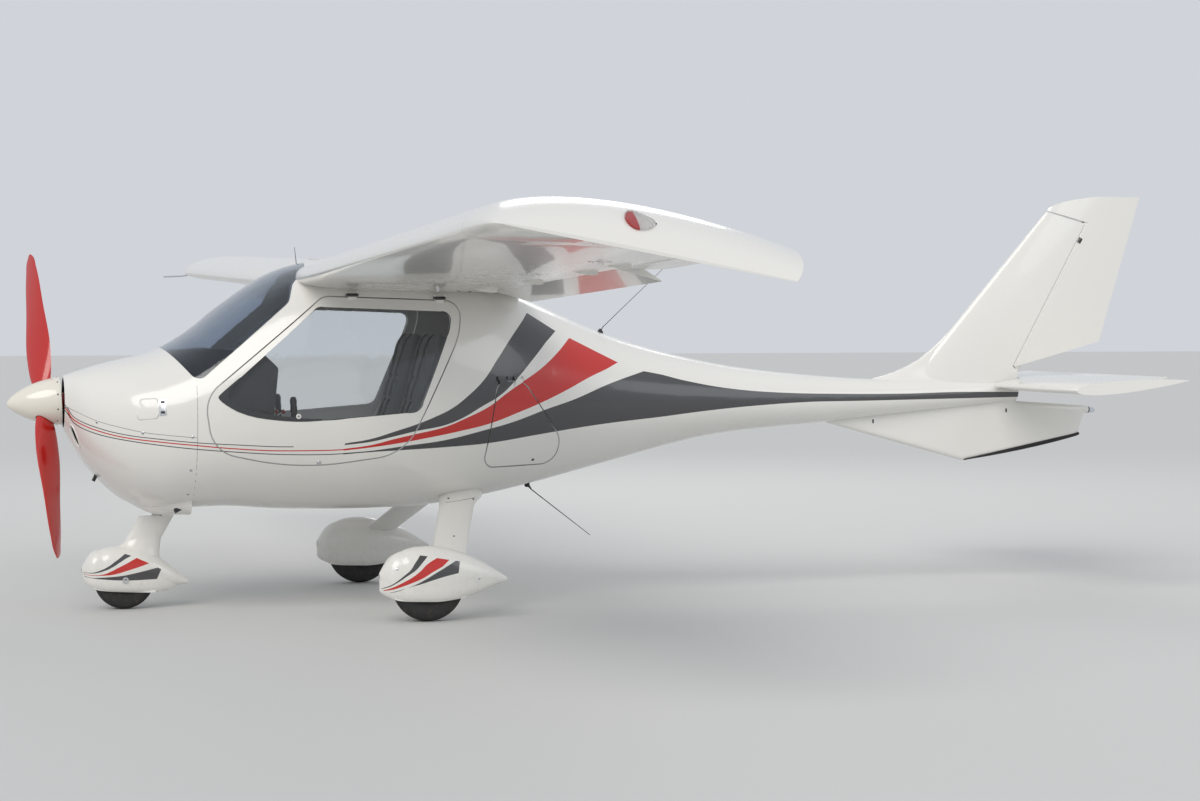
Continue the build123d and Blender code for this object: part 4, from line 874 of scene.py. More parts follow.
# Dark plate that draws a window out to its pointed front corner, where the glass shows the dark panel and the
# shaded cabin: partly the panel's own dark colour, partly painted shade. Each row gives places on the door's
# skin and on the pane
WINDOW_SHADE_PLATE = (((1.0780, 1.1745), (1.0853, 1.1678)), ((1.0450, 1.1470), (1.0553, 1.1411)),
                 ((1.0020, 1.1100), (1.0386, 1.1263)), ((0.9805, 1.0900), (1.0271, 1.1111)),
                 ((0.9750, 1.0810), (1.0240, 1.0950)), ((0.9775, 1.0720), (1.0245, 1.0800)),
                 ((0.9900, 1.0580), (1.0312, 1.0642)), ((1.0120, 1.0410), (1.0440, 1.0515)),
                 ((1.0350, 1.0265), (1.0600, 1.0450)), ((1.0660, 1.0092), (1.0925, 1.0343)),
                 ((1.1120, 0.9920), (1.1400, 1.0185)), ((1.1586, 0.9800), (1.1900, 1.0051)),
                 ((1.2052, 0.9722), (1.2400, 0.9940)), ((1.2518, 0.9665), (1.2900, 0.9853)),
                 ((1.3000, 0.9620), (1.3400, 0.9788)), ((1.3454, 0.9592), (1.3900, 0.9745)),
                 ((1.4000, 0.9590), (1.4300, 0.9725)), ((1.4700, 0.9630), (1.4750, 0.9720)))
WINDOW_RIM = ((1.469, 1.519), (2.142, 1.495), (2.124, 1.406), (1.963, 1.001), (1.322, 0.950), (0.962, 1.069))
WINDOW_RIM_ARCS = (0.050, 0.040, 0.250, 0.060, 1.150, 0.055)
WINDOW_KNOB = [(0.0125, 0), (0.0125, 0.004), (0.011, 0.0055), (0.0058, 0.0055), (0.0052, 0.002), (0.0052, 0)]

# Doors and hatches: lock, window knob, seal, the dark corner plate of painted shade, and the hatch's latch
for label, side in SIDES.items():
    cast = side_cast(side)
    door = "door_" + label
    point, normal = from_side(door, 1.467, 0.755, side)
    lock_ring = lathe([(0.013, -0.001), (0.012, 0.001), (0.009, 0.001)], point, normal, 20)
    add_piece("door_lock_" + label, merged(screw(point, normal, 0.009, 0.003), lock_ring), bright_steel, door)
    point, normal = from_side("window_" + label, 1.359, 0.985, side)
    knob = lathe(WINDOW_KNOB, point, normal, 28, closed=True)
    add_piece("window_knob_" + label, knob, gelcoat, door, slot=door)
    rim = rounded(WINDOW_RIM, WINDOW_RIM_ARCS, 12)
    seal = traced("window_" + label, rim, cast, 0.0022, rise=-0.001)
    add_piece("window_seal_" + label, seal, trim_rubber, door)
    plate_rows = []
    for outer, inner in WINDOW_SHADE_PLATE:
        door_point, out = from_side(door, *outer, side)
        pane_point, _ = from_side("window_" + label, *inner, side)
        rises = ((door_point, -0.0020), (door_point, 0.0014), (pane_point, 0.0014), (pane_point, -0.0020))
        plate_rows.append([spot + out * rise for spot, rise in rises])
    add_piece("window_border_" + label, rings(plate_rows, caps=True), window_corner_shade, door)
    point, normal = from_side("hatch_" + label, 2.596, 0.742, side)
    add_piece("hatch_latch_" + label, screw(point, normal, 0.008, 0.0022), dark_steel_and_shade, "hatch_" + label)

# Pale sealing strips in the gaps round the doors and the hatches
DOOR_EDGE = (((0.907, 1.079), (0.947, 0.812), (1.370, 0.719), (1.892, 0.789), (2.178, 1.381), (2.200, 1.552),
              (1.499, 1.575)),
             (0.165, 0.165, 1.350, 0.250, 0.420, 0.078, 0.090))
HATCH_EDGE = (((2.306, 0.706), (2.722, 0.716), (2.742, 0.850), (2.520, 1.150), (2.372, 1.152)),
              (0.060, 0.090, 0.120, 0.090, 0.060))
STRIP_WIDE = 0.0042
STRIP_THICK = 0.003
STRIP_DEEP = 0.0006


def edge_strip(lid, corners, arcs, side):
    """A flat strip along the middle of the gap between a lid and the skin, a little under them."""
    outer = rounded(inset(corners, -0.004), [arc + 0.004 for arc in arcs], 14)
    inner = rounded(inset(corners, 0.010), [arc - 0.010 for arc in arcs], 14)
    rows = []
    count = len(outer)
    for i in range(count):
        skin_point, normal = from_side("body", *outer[i], side)
        lid_point, _ = from_side(lid, *inner[i], side)
        half = (skin_point - lid_point).normalized() * STRIP_WIDE / 2
        middle = (skin_point + lid_point) / 2 - normal * STRIP_DEEP
        under = middle - normal * STRIP_THICK
        rows.append([middle - half, middle + half, under + half, under - half])
    return rings(rows, closed_along=True)


for label, side in SIDES.items():
    for part, (corners, arcs) in (("door", DOOR_EDGE), ("hatch", HATCH_EDGE)):
        strip = edge_strip(part + "_" + label, corners, arcs, side)
        add_piece(part + "_edge_strip_" + label, strip, edge_grey)

# Antennas and probes
top, _ = hit("body", (at(3.05), -0.05, 3), (0, 0, -1))
whip = smooth_path([top + Vector((0, 0, -0.004)), top + Vector((0.012, 0, 0.022)),
                    top + Vector((0.05, 0, 0.06)), (at(3.414), -0.05, 1.742)], 6)
whip_radii = [0.0032 - 0.0020 * i / (len(whip) - 1) for i in range(len(whip))]
profile = [(0.016, -0.006), (0.016, 0.003), (0.012, 0.008), (0.005, 0.018), (0, 0.019)]
foot = lathe(profile, top, (0, 0, 1), 24)
add_piece("top_antenna", merged(tube(whip, whip_radii, 10), foot), dark_steel_and_shade)
bottom, _ = hit("body", (at(2.664), 0, 0), (0, 0, 1))
whip = [bottom + Vector((0, 0, 0.004)), bottom + Vector((0.01, 0, -0.018)), (at(2.69), 0, bottom.z - 0.038),
        (at(3.008), 0, 0.315)]
foot = lathe([(0.014, -0.006), (0.014, 0.014), (0.010, 0.022), (0, 0.024)], bottom, (0, 0, -1), 24)
add_piece("belly_antenna", merged(tube(whip, [0.006, 0.007, 0.0028, 0.0016], 10), foot), trim_rubber)
roof, _ = hit("body", (at(1.490), 0.25, 3), (0, 0, -1))
whip_end = roof + Vector((-0.012, 0, 0.105))
whip = [roof + Vector((0, 0, -0.004)), (roof + whip_end) / 2, whip_end]
foot = lathe([(0.008, -0.004), (0.008, 0.002), (0.0035, 0.007), (0, 0.008)], roof, (0, 0, 1), 20)
add_piece("roof_antenna", merged(tube(whip, [0.0022, 0.0017, 0.0012], 8), foot), dark_steel_and_shade)
lead, _ = hit("wing_right", (at(1.0), 4.40, 1.765), (1, 0, 0))
probe = [lead + Vector((0.02, 0, 0)), lead + Vector((-0.03, 0, -0.012)), lead + Vector((-0.155, 0, -0.018))]
add_piece("pitot_probe", tube(smooth_path(probe, 6), 0.0055, 14), bright_steel)

# Wing: tip lights, drains, caps, inspection plates, brackets and root screws
TIP_LENS = Vector((1.918, 1.788))
# Stations and distances out
PLATES = ((1.88, 0.62), (2.10, 1.35), (2.10, 2.30), (2.12, 3.35))
ROOT_SCREWS = ((2.19, 0.50), (2.245, 0.50), (1.60, 0.50))
# Distances out
BRACKETS_OUT = (0.72, 1.62, 2.55, 3.05, 3.98)
eye = []
for k in range(36):
    along, up = cos(2 * pi * k / 36), sin(2 * pi * k / 36)
    eye.append(TIP_LENS + Vector((0.054 * along, 0.031 * up * (1 - 0.35 * along) - 0.006 * along)))
front_part = [Vector((min(p.x, 1.905), p.y)) * 0.9 + Vector((1.893, 1.788)) * 0.1 for p in eye]
for label, side in SIDES.items():
    wing = "wing_" + label
    cast = side_cast(side)
    lens = laid(wing, eye, cast, 0.010, 0.012, (0.93, 0.8, 0.5))
    add_piece("tip_lens_" + label, lens, clear_lens)
    lamp_glass = red_lens if side < 0 else green_lens
    add_piece("tip_lamp_" + label, laid(wing, front_part, cast, 0.006, 0.008), lamp_glass)
    point, normal = from_side(wing, 1.976, 1.783, side)
    add_piece("tip_lens_screw_" + label, screw(point, normal, 0.0045, 0.003), dark_steel_and_shade)
    plates, screws, brackets = [], [], []
    for station, y in PLATES:
        plates.append(laid(wing, ellipse((station, side * y), 0.052, 0.052, 36), from_below, 0.0012))
        for k in range(6):
            spot = Vector((station, side * y)) + Vector((cos(k * pi / 3), sin(k * pi / 3))) * 0.043
            screws.append(screw(*from_below(wing, *spot), 0.0038, 0.0024))
    for station, y in ROOT_SCREWS:
        screws.append(screw(*from_below(wing, station, side * y), 0.008, 0.002))
    add_piece("inspection_plates_" + label, merged(*plates), gelcoat, slot=wing)
    add_piece("under_wing_screws_" + label, merged(*screws), dark_steel_and_shade)
    profile = [(0.012, -0.002), (0.012, 0.003), (0.007, 0.006), (0.007, 0.014), (0, 0.015)]
    drain = lathe(profile, *from_below(wing, 2.02, side * 0.78), 20)
    add_piece("fuel_drain_" + label, drain, bright_steel)
    cap, normal = from_above(wing, 1.72, side * 1.05)
    lid = lathe([(0.036, -0.004), (0.036, 0.0008), (0.035, 0.0016), (0, 0.0018)], cap, normal, 40)
    groove = lathe([(0.0385, -0.004), (0.0385, 0.0004), (0.036, 0.0006), (0.036, -0.004)], cap, normal, 40,
                   closed=True)
    handle = [cap + normal * 0.0016 + Vector((along, 0, 0)) for along in (-0.022, 0.022)]
    add_piece("fuel_cap_" + label, merged(lid, strap(handle, normal, 0.009, 0.001)), gelcoat, slot=wing)
    add_piece("fuel_cap_groove_" + label, groove, black_and_painted_shade)
    for y in BRACKETS_OUT:
        front, _ = from_below(wing, 2.215, side * y)
        back, _ = from_below(wing, 2.335, side * y)
        outline = [front + Vector((0, 0, 0.004)), front + Vector((0.03, 0, -0.006))]
        outline += [back + Vector((x, 0, z)) for x, z in ((-0.03, -0.015), (0, -0.012), (0, 0.004))]
        rows = [[point + Vector((0, half, 0)) for point in outline] for half in (-0.0035, 0.0035)]
        brackets.append(rings(rows, caps=True))
    add_piece("hinge_brackets_" + label, merged(*brackets), gelcoat, slot=wing)

# Fillet at the foot of the fin's leading edge: rows of height and front station, each a half round that
# runs back into the fin
FILLET_BACK = 5.16
FILLET = ((1.085, 4.46), (1.125, 4.585), (1.147, 4.66), (1.168, 4.738), (1.200, 4.815), (1.238, 4.884),
          (1.288, 4.950), (1.335, 5.006), (1.385, 5.057))
fillet_rows = []
for height, front in FILLET:
    row = []
    spread = 0.030 + 0.030 * max(0.0, (1.20 - height) / 0.10) ** 2 - 0.10 * max(0.0, height - 1.20)
    for k in range(25):
        turn = pi * k / 24
        along = 1 - sin(turn)
        out = spread * cos(turn) * (1 - 0.12 * along)
        row.append(Vector((at(front + (FILLET_BACK - front) * along), out, height)))
    fillet_rows.append(row)
add_piece("fin_fillet", rings(fillet_rows, caps=True), gelcoat, slot="fin", sharp=60)

# Slots in the sides of the ventral fin, as dark plates of painted shade
slots = []
for side in (-1, 1):
    for spot in ((4.608, 0.901), (5.40, 0.953)):
        slots.append(laid("ventral", rectangle(spot, 0.0045, 0.011, 0.0035), side_cast(side), 0.0006, 0.002))
add_piece("ventral_slots", merged(*slots), black_and_painted_shade)

# Openings at the rudder's upper hinge, as dark plates of painted shade, and the lower hinge's bracket
HINGE_LOW = Vector((5.444, 1.196))
HINGE_HIGH = Vector((5.891, 1.997))
hinge_run = (HINGE_HIGH - HINGE_LOW).normalized()
hinge_across = Vector((hinge_run.y, -hinge_run.x))
SKIN_SPOT = 0.022


def hinge_opening(first, last, middle, half):
    """Dark plates of painted shade for the openings, on both sides of the tail between two distances across
    the hinge line, level with the skin beside the line."""
    plates = []
    for side in (-1, 1):
        corners = []
        for along, across in ((-half, first), (half, first), (half, last), (-half, last)):
            level = HINGE_LOW + hinge_run * (middle + along)
            spot = level + hinge_across * across
            beside = level + hinge_across * (SKIN_SPOT if last > 0 else -SKIN_SPOT)
            point, _ = from_side("tail", beside.x, beside.y, side)
            corners.append(Vector((at(spot.x), point.y, spot.y)))
        rows = [[corner + Vector((0, side * out, 0)) for corner in corners] for out in (-0.0005, 0.0011)]
        plates.append(rings(rows, caps=True))
    return plates


openings = hinge_opening(-0.007, -0.002, 0.806, 0.016) + hinge_opening(0.001, 0.015, 0.806, 0.016)
add_piece("hinge_openings", merged(*openings), dark_steel_and_shade, "rudder")
BRACKET = ((5.424, 1.208), (5.440, 1.196), (5.452, 1.170), (5.470, 1.160), (5.470, 1.151), (5.438, 1.151),
           (5.422, 1.185))
rows = [[Vector((at(station), y, height)) for station, height in BRACKET] for y in (-0.011, 0.011)]
add_piece("lower_hinge_bracket", rings(rows, caps=True), dark_steel_and_shade)


def trimmed(name, node, curve):
    """A copy of a node, cut off above a convex curve of stations and heights, that stands for the node."""
    work = bmesh.new()
    work.from_mesh(nodes[node].data)
    bmesh.ops.remove_doubles(work, verts=work.verts, dist=0.00001)
    for (x0, z0), (x1, z1) in zip(curve, curve[1:]):
        out = Vector((z0 - z1, 0, x1 - x0)).normalized()
        everything = work.verts[:] + work.edges[:] + work.faces[:]
        bmesh.ops.bisect_plane(work, geom=everything, plane_co=(at(x0), 0, z0), plane_no=out,
                               clear_outer=True)
        bmesh.ops.holes_fill(work, edges=[edge for edge in work.edges if edge.is_boundary], sides=0)
    points = [vert.co.copy() for vert in work.verts]
    work.verts.index_update()
    faces = [[vert.index for vert in face.verts] for face in work.faces]
    work.free()
    made = add_piece(name, (points, faces), gelcoat, node, slot=node, sharp=24)
    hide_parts(node)


# Rounded top front corner of the rudder: a curve from the first point to the last, drawn to the middle one
RUDDER_TOP = ((5.652, 2.064), (5.700, 2.119), (5.950, 2.144))
top_curve = []
for k in range(11):
    t = k / 10
    top_curve.append([(1 - t) ** 2 * a + 2 * t * (1 - t) * b + t ** 2 * c for a, b, c in zip(*RUDDER_TOP)])
trimmed("rudder_rounded", "rudder", top_curve)

# Ventral fin with rounded edges, its tapered skid and the tail light
VENTRAL = [(4.300, 0.960), (4.336, 0.899), (5.145, 0.678), (5.837, 0.807), (5.898, 0.975), (5.470, 1.004),
           (5.400, 1.060)]
VENTRAL_ARCS = (0.0, 0.0, 0.060, 0.050, 0.020, 0.0, 0.0)
# Distance in from the edge, and half thickness there
VENTRAL_LAYERS = ((0.0, 0.0), (0.0008, 0.006), (0.0035, 0.0115), (0.009, 0.0165), (0.018, 0.0198),
                  (0.030, 0.0210))
layers = []
for depth, half in VENTRAL_LAYERS:
    flat = rounded(inset(VENTRAL, depth), [max(arc - depth, 0.004) for arc in VENTRAL_ARCS], 10)
    layers.append((flat, half))
layers = [(flat, -half) for flat, half in layers[::-1]] + layers[1:]
ventral = rings([[Vector((at(p.x), half, p.y)) for p in flat] for flat, half in layers], caps=True)
made = add_piece("ventral_rounded", ventral, gelcoat, slot="ventral_fin", sharp=40)
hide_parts("ventral_fin")

SKID_FROM = Vector((5.152, 0.6805))
SKID_TO = Vector((5.846, 0.8200))
# Share of the skid's length, and its depth there
SKID_DEPTHS = ((0.0, 0.001), (0.05, 0.003), (0.12, 0.006), (0.22, 0.010), (0.35, 0.014), (0.50, 0.017),
               (0.65, 0.018), (0.78, 0.017), (0.88, 0.015), (0.95, 0.013), (0.985, 0.011), (1.0, 0.008))
SKID_SUNK = 0.006
# Half of the skid's section: distance out, and drop, in metres at its top and as a share of its depth below
SKID_TOP = ((0.0225, 0.0), (0.0235, 0.004))
SKID_UNDER = ((0.0225, 0.55), (0.0170, 0.88), (0.0080, 1.0))
skid_rows = []
down = Vector((SKID_TO.y - SKID_FROM.y, -(SKID_TO.x - SKID_FROM.x))).normalized()
for share, deep in SKID_DEPTHS:
    top = SKID_FROM + (SKID_TO - SKID_FROM) * share - down * SKID_SUNK
    half = list(SKID_TOP) + [(out, (deep + SKID_SUNK) * drop) for out, drop in SKID_UNDER]
    section = [(0.0, -0.002)] + [(-out, drop) for out, drop in half] + half[::-1]
    row = []
    for out, drop in section:
        spot = top + down * drop
        row.append(Vector((at(spot.x), out, spot.y)))
    skid_rows.append(row)
made = add_piece("skid_wedge", rings(skid_rows, caps=True), skid_rubber)
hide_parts("tail_skid")

TAIL_LIGHT = (at(5.907), 0, 0.952)
LIGHT_RUN = (1, 0, -0.10)
GLASS_PROFILE = [(0.0158, 0.0), (0.0158, 0.022), (0.0135, 0.032), (0.009, 0.038), (0.004, 0.041), (0, 0.0415)]
RING_PROFILE = [(0, -0.001), (0.0178, -0.001), (0.0182, 0.001), (0.0178, 0.005), (0.0150, 0.0055)]
BASE_PROFILE = [(0, -0.065), (0.0205, -0.060), (0.0225, -0.040), (0.0205, -0.015), (0.0172, 0.0), (0, 0.0)]
glass_foot = Vector(TAIL_LIGHT) + Vector((0.004, 0, 0))
add_piece("tail_light", lathe(GLASS_PROFILE, glass_foot, LIGHT_RUN, 28), frosted_lens)
add_piece("tail_light_ring", lathe(RING_PROFILE, TAIL_LIGHT, LIGHT_RUN, 28), dark_steel_and_shade)
add_piece("tail_light_base", lathe(BASE_PROFILE, TAIL_LIGHT, LIGHT_RUN, 28), gelcoat, slot="fin")

# Undercarriage: main legs, their axles, seams and screws
LEG_ROOT = Vector((2.229, -0.300, 0.566))
LEG_FOOT = Vector((2.052, -0.868, 0.304))
LEG_ROOT_SIZE = (0.182, 0.048)
LEG_FOOT_SIZE = (0.171, 0.030)
CUFF_FLARE = 0.034
CUFF_REACH = 0.105
AXLE_PLATE = ((2.052, 0.330), (1.995, 0.250), (1.925, 0.155))
LEG_SCREWS = ((2.158, 0.552), (2.288, 0.545), (2.112, 0.390))
SPAT_SCREWS = ((1.960, 0.1635), (1.775, 0.262), (2.180, 0.205))
leg_rows = []
for share in (0.0, 0.04, 0.08, 0.12, 0.16, 0.20, 0.25, 0.32, 0.45, 0.60, 0.75, 0.90, 1.0):
    flare = CUFF_FLARE * exp(-(share / CUFF_REACH) ** 2)
    wide, deep = (a + (b - a) * share for a, b in zip(LEG_ROOT_SIZE, LEG_FOOT_SIZE))
    centre = LEG_ROOT + (LEG_FOOT - LEG_ROOT) * share
    thick = (LEG_FOOT - LEG_ROOT).cross(Vector((1, 0, 0))).normalized()
    row = []
    for k in range(40):
        turn = 2 * pi * k / 40
        across = (wide / 2 + flare) * cos(turn) + 0.010 * (1 - cos(turn)) * flare / CUFF_FLARE
        rise = (deep / 2 + flare * 0.5) * sin(turn)
        row.append(Vector((at(centre.x) + across, centre.y, centre.z)) + thick * rise)
    leg_rows.append(row)
leg_shape = rings(leg_rows, caps=True)
for label, side in SIDES.items():
    leg = "leg_" + label
    shape = leg_shape if side < 0 else mirrored(leg_shape)
    made = add_piece("main_leg_blade_" + label, shape, leg_paint, slot="main_leg_" + label)
    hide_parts("main_leg_" + label)
    SURFACES[leg] = BVHTree.FromPolygons([Vector(p) for p in shape[0]], shape[1])
    axle = tube([(at(MAIN_WHEEL[0]), side * y, MAIN_WHEEL[1]) for y in (0.856, 0.966)], 0.010, 20)
    line = [(at(station), side * 0.862, height) for station, height in AXLE_PLATE]
    plate = strap(line, (0, side, 0), 0.046, 0.010)
    add_piece("main_axle_" + label, merged(axle, plate), dark_steel_and_shade)
    cast = side_cast(side)
    seam = [Vector((2.138 + 0.0180 * k, 0.5335 + 0.0021 * k)) for k in range(10)]
    add_piece("leg_seam_" + label, traced(leg, seam, cast, 0.0013, False), black_and_painted_shade)
    spots = [from_side(leg, *spot, side) for spot in LEG_SCREWS]
    add_piece("leg_screws_" + label, merged(*[screw(p, n, 0.0055, 0.0018) for p, n in spots]), dark_steel_and_shade)
    spots = [from_side("spat_" + label, *spot, side) for spot in SPAT_SCREWS]
    add_piece("spat_screws_" + label, merged(*[screw(p, n, 0.0065, 0.0018) for p, n in spots]), bright_steel)


# Lower edges of the wheel fairings, closing in round the tyres
def between(rows, station):
    """Value at a station from rows of station and value."""
    for (x0, v0), (x1, v1) in zip(rows, rows[1:]):
        if x0 <= station <= x1:
            return v0 + (v1 - v0) * (station - x0) / (x1 - x0)
    return rows[0][1] if station < rows[0][0] else rows[-1][1]


def fairing_edge(surface, centre, level, ends, bottom, slot):
    """Bottom of a fairing from a level down to its lower edge. The slot over the tyre is two stations and a
    half width."""
    def found_at(station):
        """The fairing's side at a station, or None past its ends."""
        return SURFACES[surface].ray_cast(Vector((at(station), centre - 1, level)), Vector((0, 1, 0)))[0]

    front, back = ends
    while found_at(front) is None:
        front += 0.0005
    while found_at(back) is None:
        back -= 0.0005
    middle, half = (front + back) / 2, (back - front) / 2
    stations = [middle - half * cos(2 * pi * k / 96) for k in range(96)]
    sides = [-1 if k <= 48 else 1 for k in range(96)]
    widths = []
    for station in stations:
        found = found_at(station)
        widths.append(max(centre - found.y, 0.001) if found and found.y < centre else 0.001)
    rows = []
    for depth in (0.0, 0.15, 0.32, 0.50, 0.66, 0.80, 0.90, 0.97, 1.0):
        row = []
        for station, side, width in zip(stations, sides, widths):
            fall = depth * (level - between(bottom, station))
            pull = 0.006 * depth + 0.016 * depth ** 6
            out = max(width + 0.0006 - pull * min(1, width / 0.04), 0.0)
            row.append(Vector((at(station), centre + side * out, level - fall)))
        rows.append(row)
    for rise in (0.0, 0.014):
        row = []
        for station, side, width in zip(stations, sides, widths):
            inside = min(max(station, slot[0]), slot[1])
            away = min(1.0, width / 0.05) if station != inside else 1.0
            low = between(bottom, inside) - 0.001
            row.append(Vector((at(inside), centre + side * slot[2] * away, low + rise)))
        rows.append(row)
    return rings(rows)


# The nose fairing is drawn out forward of its wheel, from the solid's front station to the photograph's
NOSE_SPAT_FRONT = (0.388, 0.361)
stretch = (NOSE_WHEEL[0] - NOSE_SPAT_FRONT[1]) / (NOSE_WHEEL[0] - NOSE_SPAT_FRONT[0])
points = [vert.co.copy() for vert in nodes["nose_spat"].data.vertices]
for point in points:
    if point.x < at(NOSE_WHEEL[0]):
        point.x = at(NOSE_WHEEL[0]) + (point.x - at(NOSE_WHEEL[0])) * stretch
faces = [list(face.vertices) for face in nodes["nose_spat"].data.polygons]
SURFACES["nose_spat"] = BVHTree.FromPolygons(points, faces)
made = add_piece("nose_spat_shell", (points, faces), nose_spat_paint, "nose_gear")
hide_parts("nose_spat")
MAIN_EDGE = ((1.690, 0.186), (1.696, 0.160), (1.706, 0.145), (1.724, 0.131), (1.750, 0.119), (1.784, 0.109),
             (1.830, 0.103), (1.880, 0.101), (1.975, 0.098), (2.020, 0.101), (2.060, 0.107), (2.103, 0.115),
             (2.196, 0.141), (2.290, 0.174), (2.330, 0.190))
NOSE_EDGE = ((0.360, 0.184), (0.367, 0.155), (0.378, 0.138), (0.395, 0.122), (0.437, 0.102), (0.505, 0.093),
             (0.590, 0.088), (0.700, 0.084), (0.744, 0.085), (0.790, 0.091), (0.839, 0.104), (0.886, 0.131))
lower = fairing_edge("spat_left", -HALF_TRACK, 0.206, (1.7005, 2.318), MAIN_EDGE, (1.764, 2.114, 0.058))
for label, side in SIDES.items():
    add_piece("main_spat_edge_" + label, lower if side < 0 else mirrored(lower), main_spat_paint,
              slot="main_spat_" + label)
lower = fairing_edge("nose_spat", 0.0, 0.180, (0.350, 0.890), NOSE_EDGE, (0.418, 0.724, 0.058))
add_piece("nose_spat_edge", lower, nose_spat_paint, "nose_gear")

spots = [from_side("nose_spat", 0.576, 0.118, side) for side in (-1, 1)]
add_piece("valve_caps", merged(*[screw(p, n, 0.007, 0.002) for p, n in spots]), dark_steel_and_shade, "nose_gear")

# Fillet where the nose leg meets its fairing
spat_fillet = []
for share in (1.0, 0.75, 0.5, 0.3, 0.15, 0.0):
    row = []
    grow = 0.030 * (1 - share) ** 2
    lift = 0.336 + 0.055 * share
    centre = 0.645 + 0.045 * share
    for k in range(36):
        angle = 2 * pi * k / 36
        x = at(centre) + (0.0745 + grow) * cos(angle)
        y = (0.0265 + grow * 0.8) * sin(angle)
        if share == 0.0:
            point, normal = hit("nose_spat", (x, y, 0.8), (0, 0, -1))
            row.append(point - normal * 0.001)
        else:
            row.append(Vector((x, y, lift)))
    spat_fillet.append(row)
for k in range(36):
    foot = spat_fillet[-1][k]
    for index, share in ((1, 0.75), (2, 0.5), (3, 0.3), (4, 0.15)):
        spat_fillet[index][k].z = foot.z + (spat_fillet[0][k].z - foot.z) * share ** 1.2
add_piece("nose_leg_fillet", rings(spat_fillet), leg_paint, "nose_gear", slot="nose_leg", sharp=70)

# Place across a tread groove, and its depth there
GROOVE = ((-0.0045, 0), (-0.0022, 0), (-0.0016, 0.004), (0.0016, 0.004), (0.0022, 0), (0.0045, 0))


def tyre(name, node, body, out, wheel, bead):
    """Tyre with four tread grooves that stands for the plain CAD one and rests on the ground."""
    station, radius = wheel
    half = 0.051
    profile = [(bead, -0.040), (bead + 0.008, -0.0445), (bead + 0.03, -0.0500),
               ((bead + radius) / 2 + 0.01, -half), (radius - 0.022, -0.0485), (radius - 0.012, -0.0430)]
    crown = []
    for groove in (-0.024, -0.008, 0.008, 0.024):
        for along, deep in GROOVE:
            place = groove + along
            crown.append((radius - 0.0125 * abs(place / 0.043) ** 2.4 - deep, place))
    profile += crown + [(r, -a) for r, a in profile[::-1]]
    shape = lathe(profile, (at(station), out, radius), (0, 1, 0), 72, closed=True)
    made = add_piece(name, shape, tyre_rubber, body, slot=node)
    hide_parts(node)


for label, side in SIDES.items():
    tyre("main_tyre_tread_" + label, "main_tyre_" + label, "main_wheel_" + label, side * HALF_TRACK,
         MAIN_WHEEL, 0.076)
tyre("nose_tyre_tread", "nose_tyre", "nose_wheel", 0, NOSE_WHEEL, 0.056)

# Instrument panel, with places across and above the ground
KNOB = [(0.0105, 0.006), (0.0105, 0.012), (0.0085, 0.013), (0.008, 0.022), (0.007, 0.0235), (0, 0.0235)]
SWITCH = [(0.008, -0.001), (0.008, 0.002), (0.0035, 0.003), (0.0028, 0.016), (0, 0.0165)]
RADIOS = ((1.170, 0.052), (1.100, 0.062), (1.030, 0.046))
SWITCH_ROW = 0.985
SWITCHES = (-0.40, -0.345, -0.29, -0.235, -0.18, 0.18, 0.235, 0.29, 0.345, 0.40)
bezels, faces, marks, needles = [], [], [], []
DIALS = [(y, z, 0.036) for z in (1.155, 1.065) for y in (-0.395, -0.305, -0.215)]
DIALS += [(y, z, 0.026) for z in (1.165, 1.100, 1.035) for y in (0.215, 0.285, 0.355)]
for index, (y, z, radius) in enumerate(DIALS):
    point, normal = from_cabin("panel", y, z)
    point = point + normal * 0.0005
    outer = radius + 0.005
    bezel = [(outer, -0.002), (outer, 0.004), (radius + 0.002, 0.0065), (radius, 0.0055), (radius, 0.001)]
    bezels.append(lathe(bezel, point, normal, 40))
    faces.append(lathe([(radius, 0.0012), (0, 0.0013)], point, normal, 40))
    up = normal.cross(Vector((0, 1, 0))).normalized()
    side = up.cross(normal)
    for k in range(12):
        angle = 2 * pi * k / 12
        ray = (side * cos(angle) + up * sin(angle)) * radius
        line = [point + ray * share + normal * 0.0014 for share in (0.76 if k % 3 else 0.66, 0.93)]
        marks.append(strap(line, normal, 0.0018, 0.0003))
    angle = 1.1 + 1.9 * index
    ray = (side * cos(angle) + up * sin(angle)) * radius
    line = [point + ray * share + normal * 0.002 for share in (-0.18, 0.78)]
    needles.append(strap(line, normal, 0.0024, 0.0005))
    needles.append(lathe([(0.0045, 0.001), (0.0045, 0.0032), (0, 0.0034)], point, normal, 16))
add_piece("dial_bezels", merged(*bezels), console_grey)
add_piece("dial_faces", merged(*faces), black_and_painted_shade)
add_piece("dial_marks", merged(*marks), dial_white)
add_piece("dial_needles", merged(*needles), dial_white)
radios, screens, knobs = [], [], []
for z, height in RADIOS:
    radios.append(laid("panel", rectangle((0, z), 0.082, height / 2, 0.006), from_cabin, 0.007, 0.009))
    screen = rectangle((0, z + height * 0.01), 0.045, height * 0.31, 0.003)
    screens.append(laid("panel", screen, from_cabin, 0.0078, 0.002))
    for y in (-0.064, 0.064):
        knobs.append(lathe(KNOB, *from_cabin("panel", y, z), 20))
for y in SWITCHES:
    knobs.append(lathe(SWITCH, *from_cabin("panel", y, SWITCH_ROW), 14))
add_piece("radio_frames", merged(*radios), console_grey)
add_piece("radio_screens", merged(*screens), screen_glass)
add_piece("panel_knobs", merged(*knobs), bright_steel)

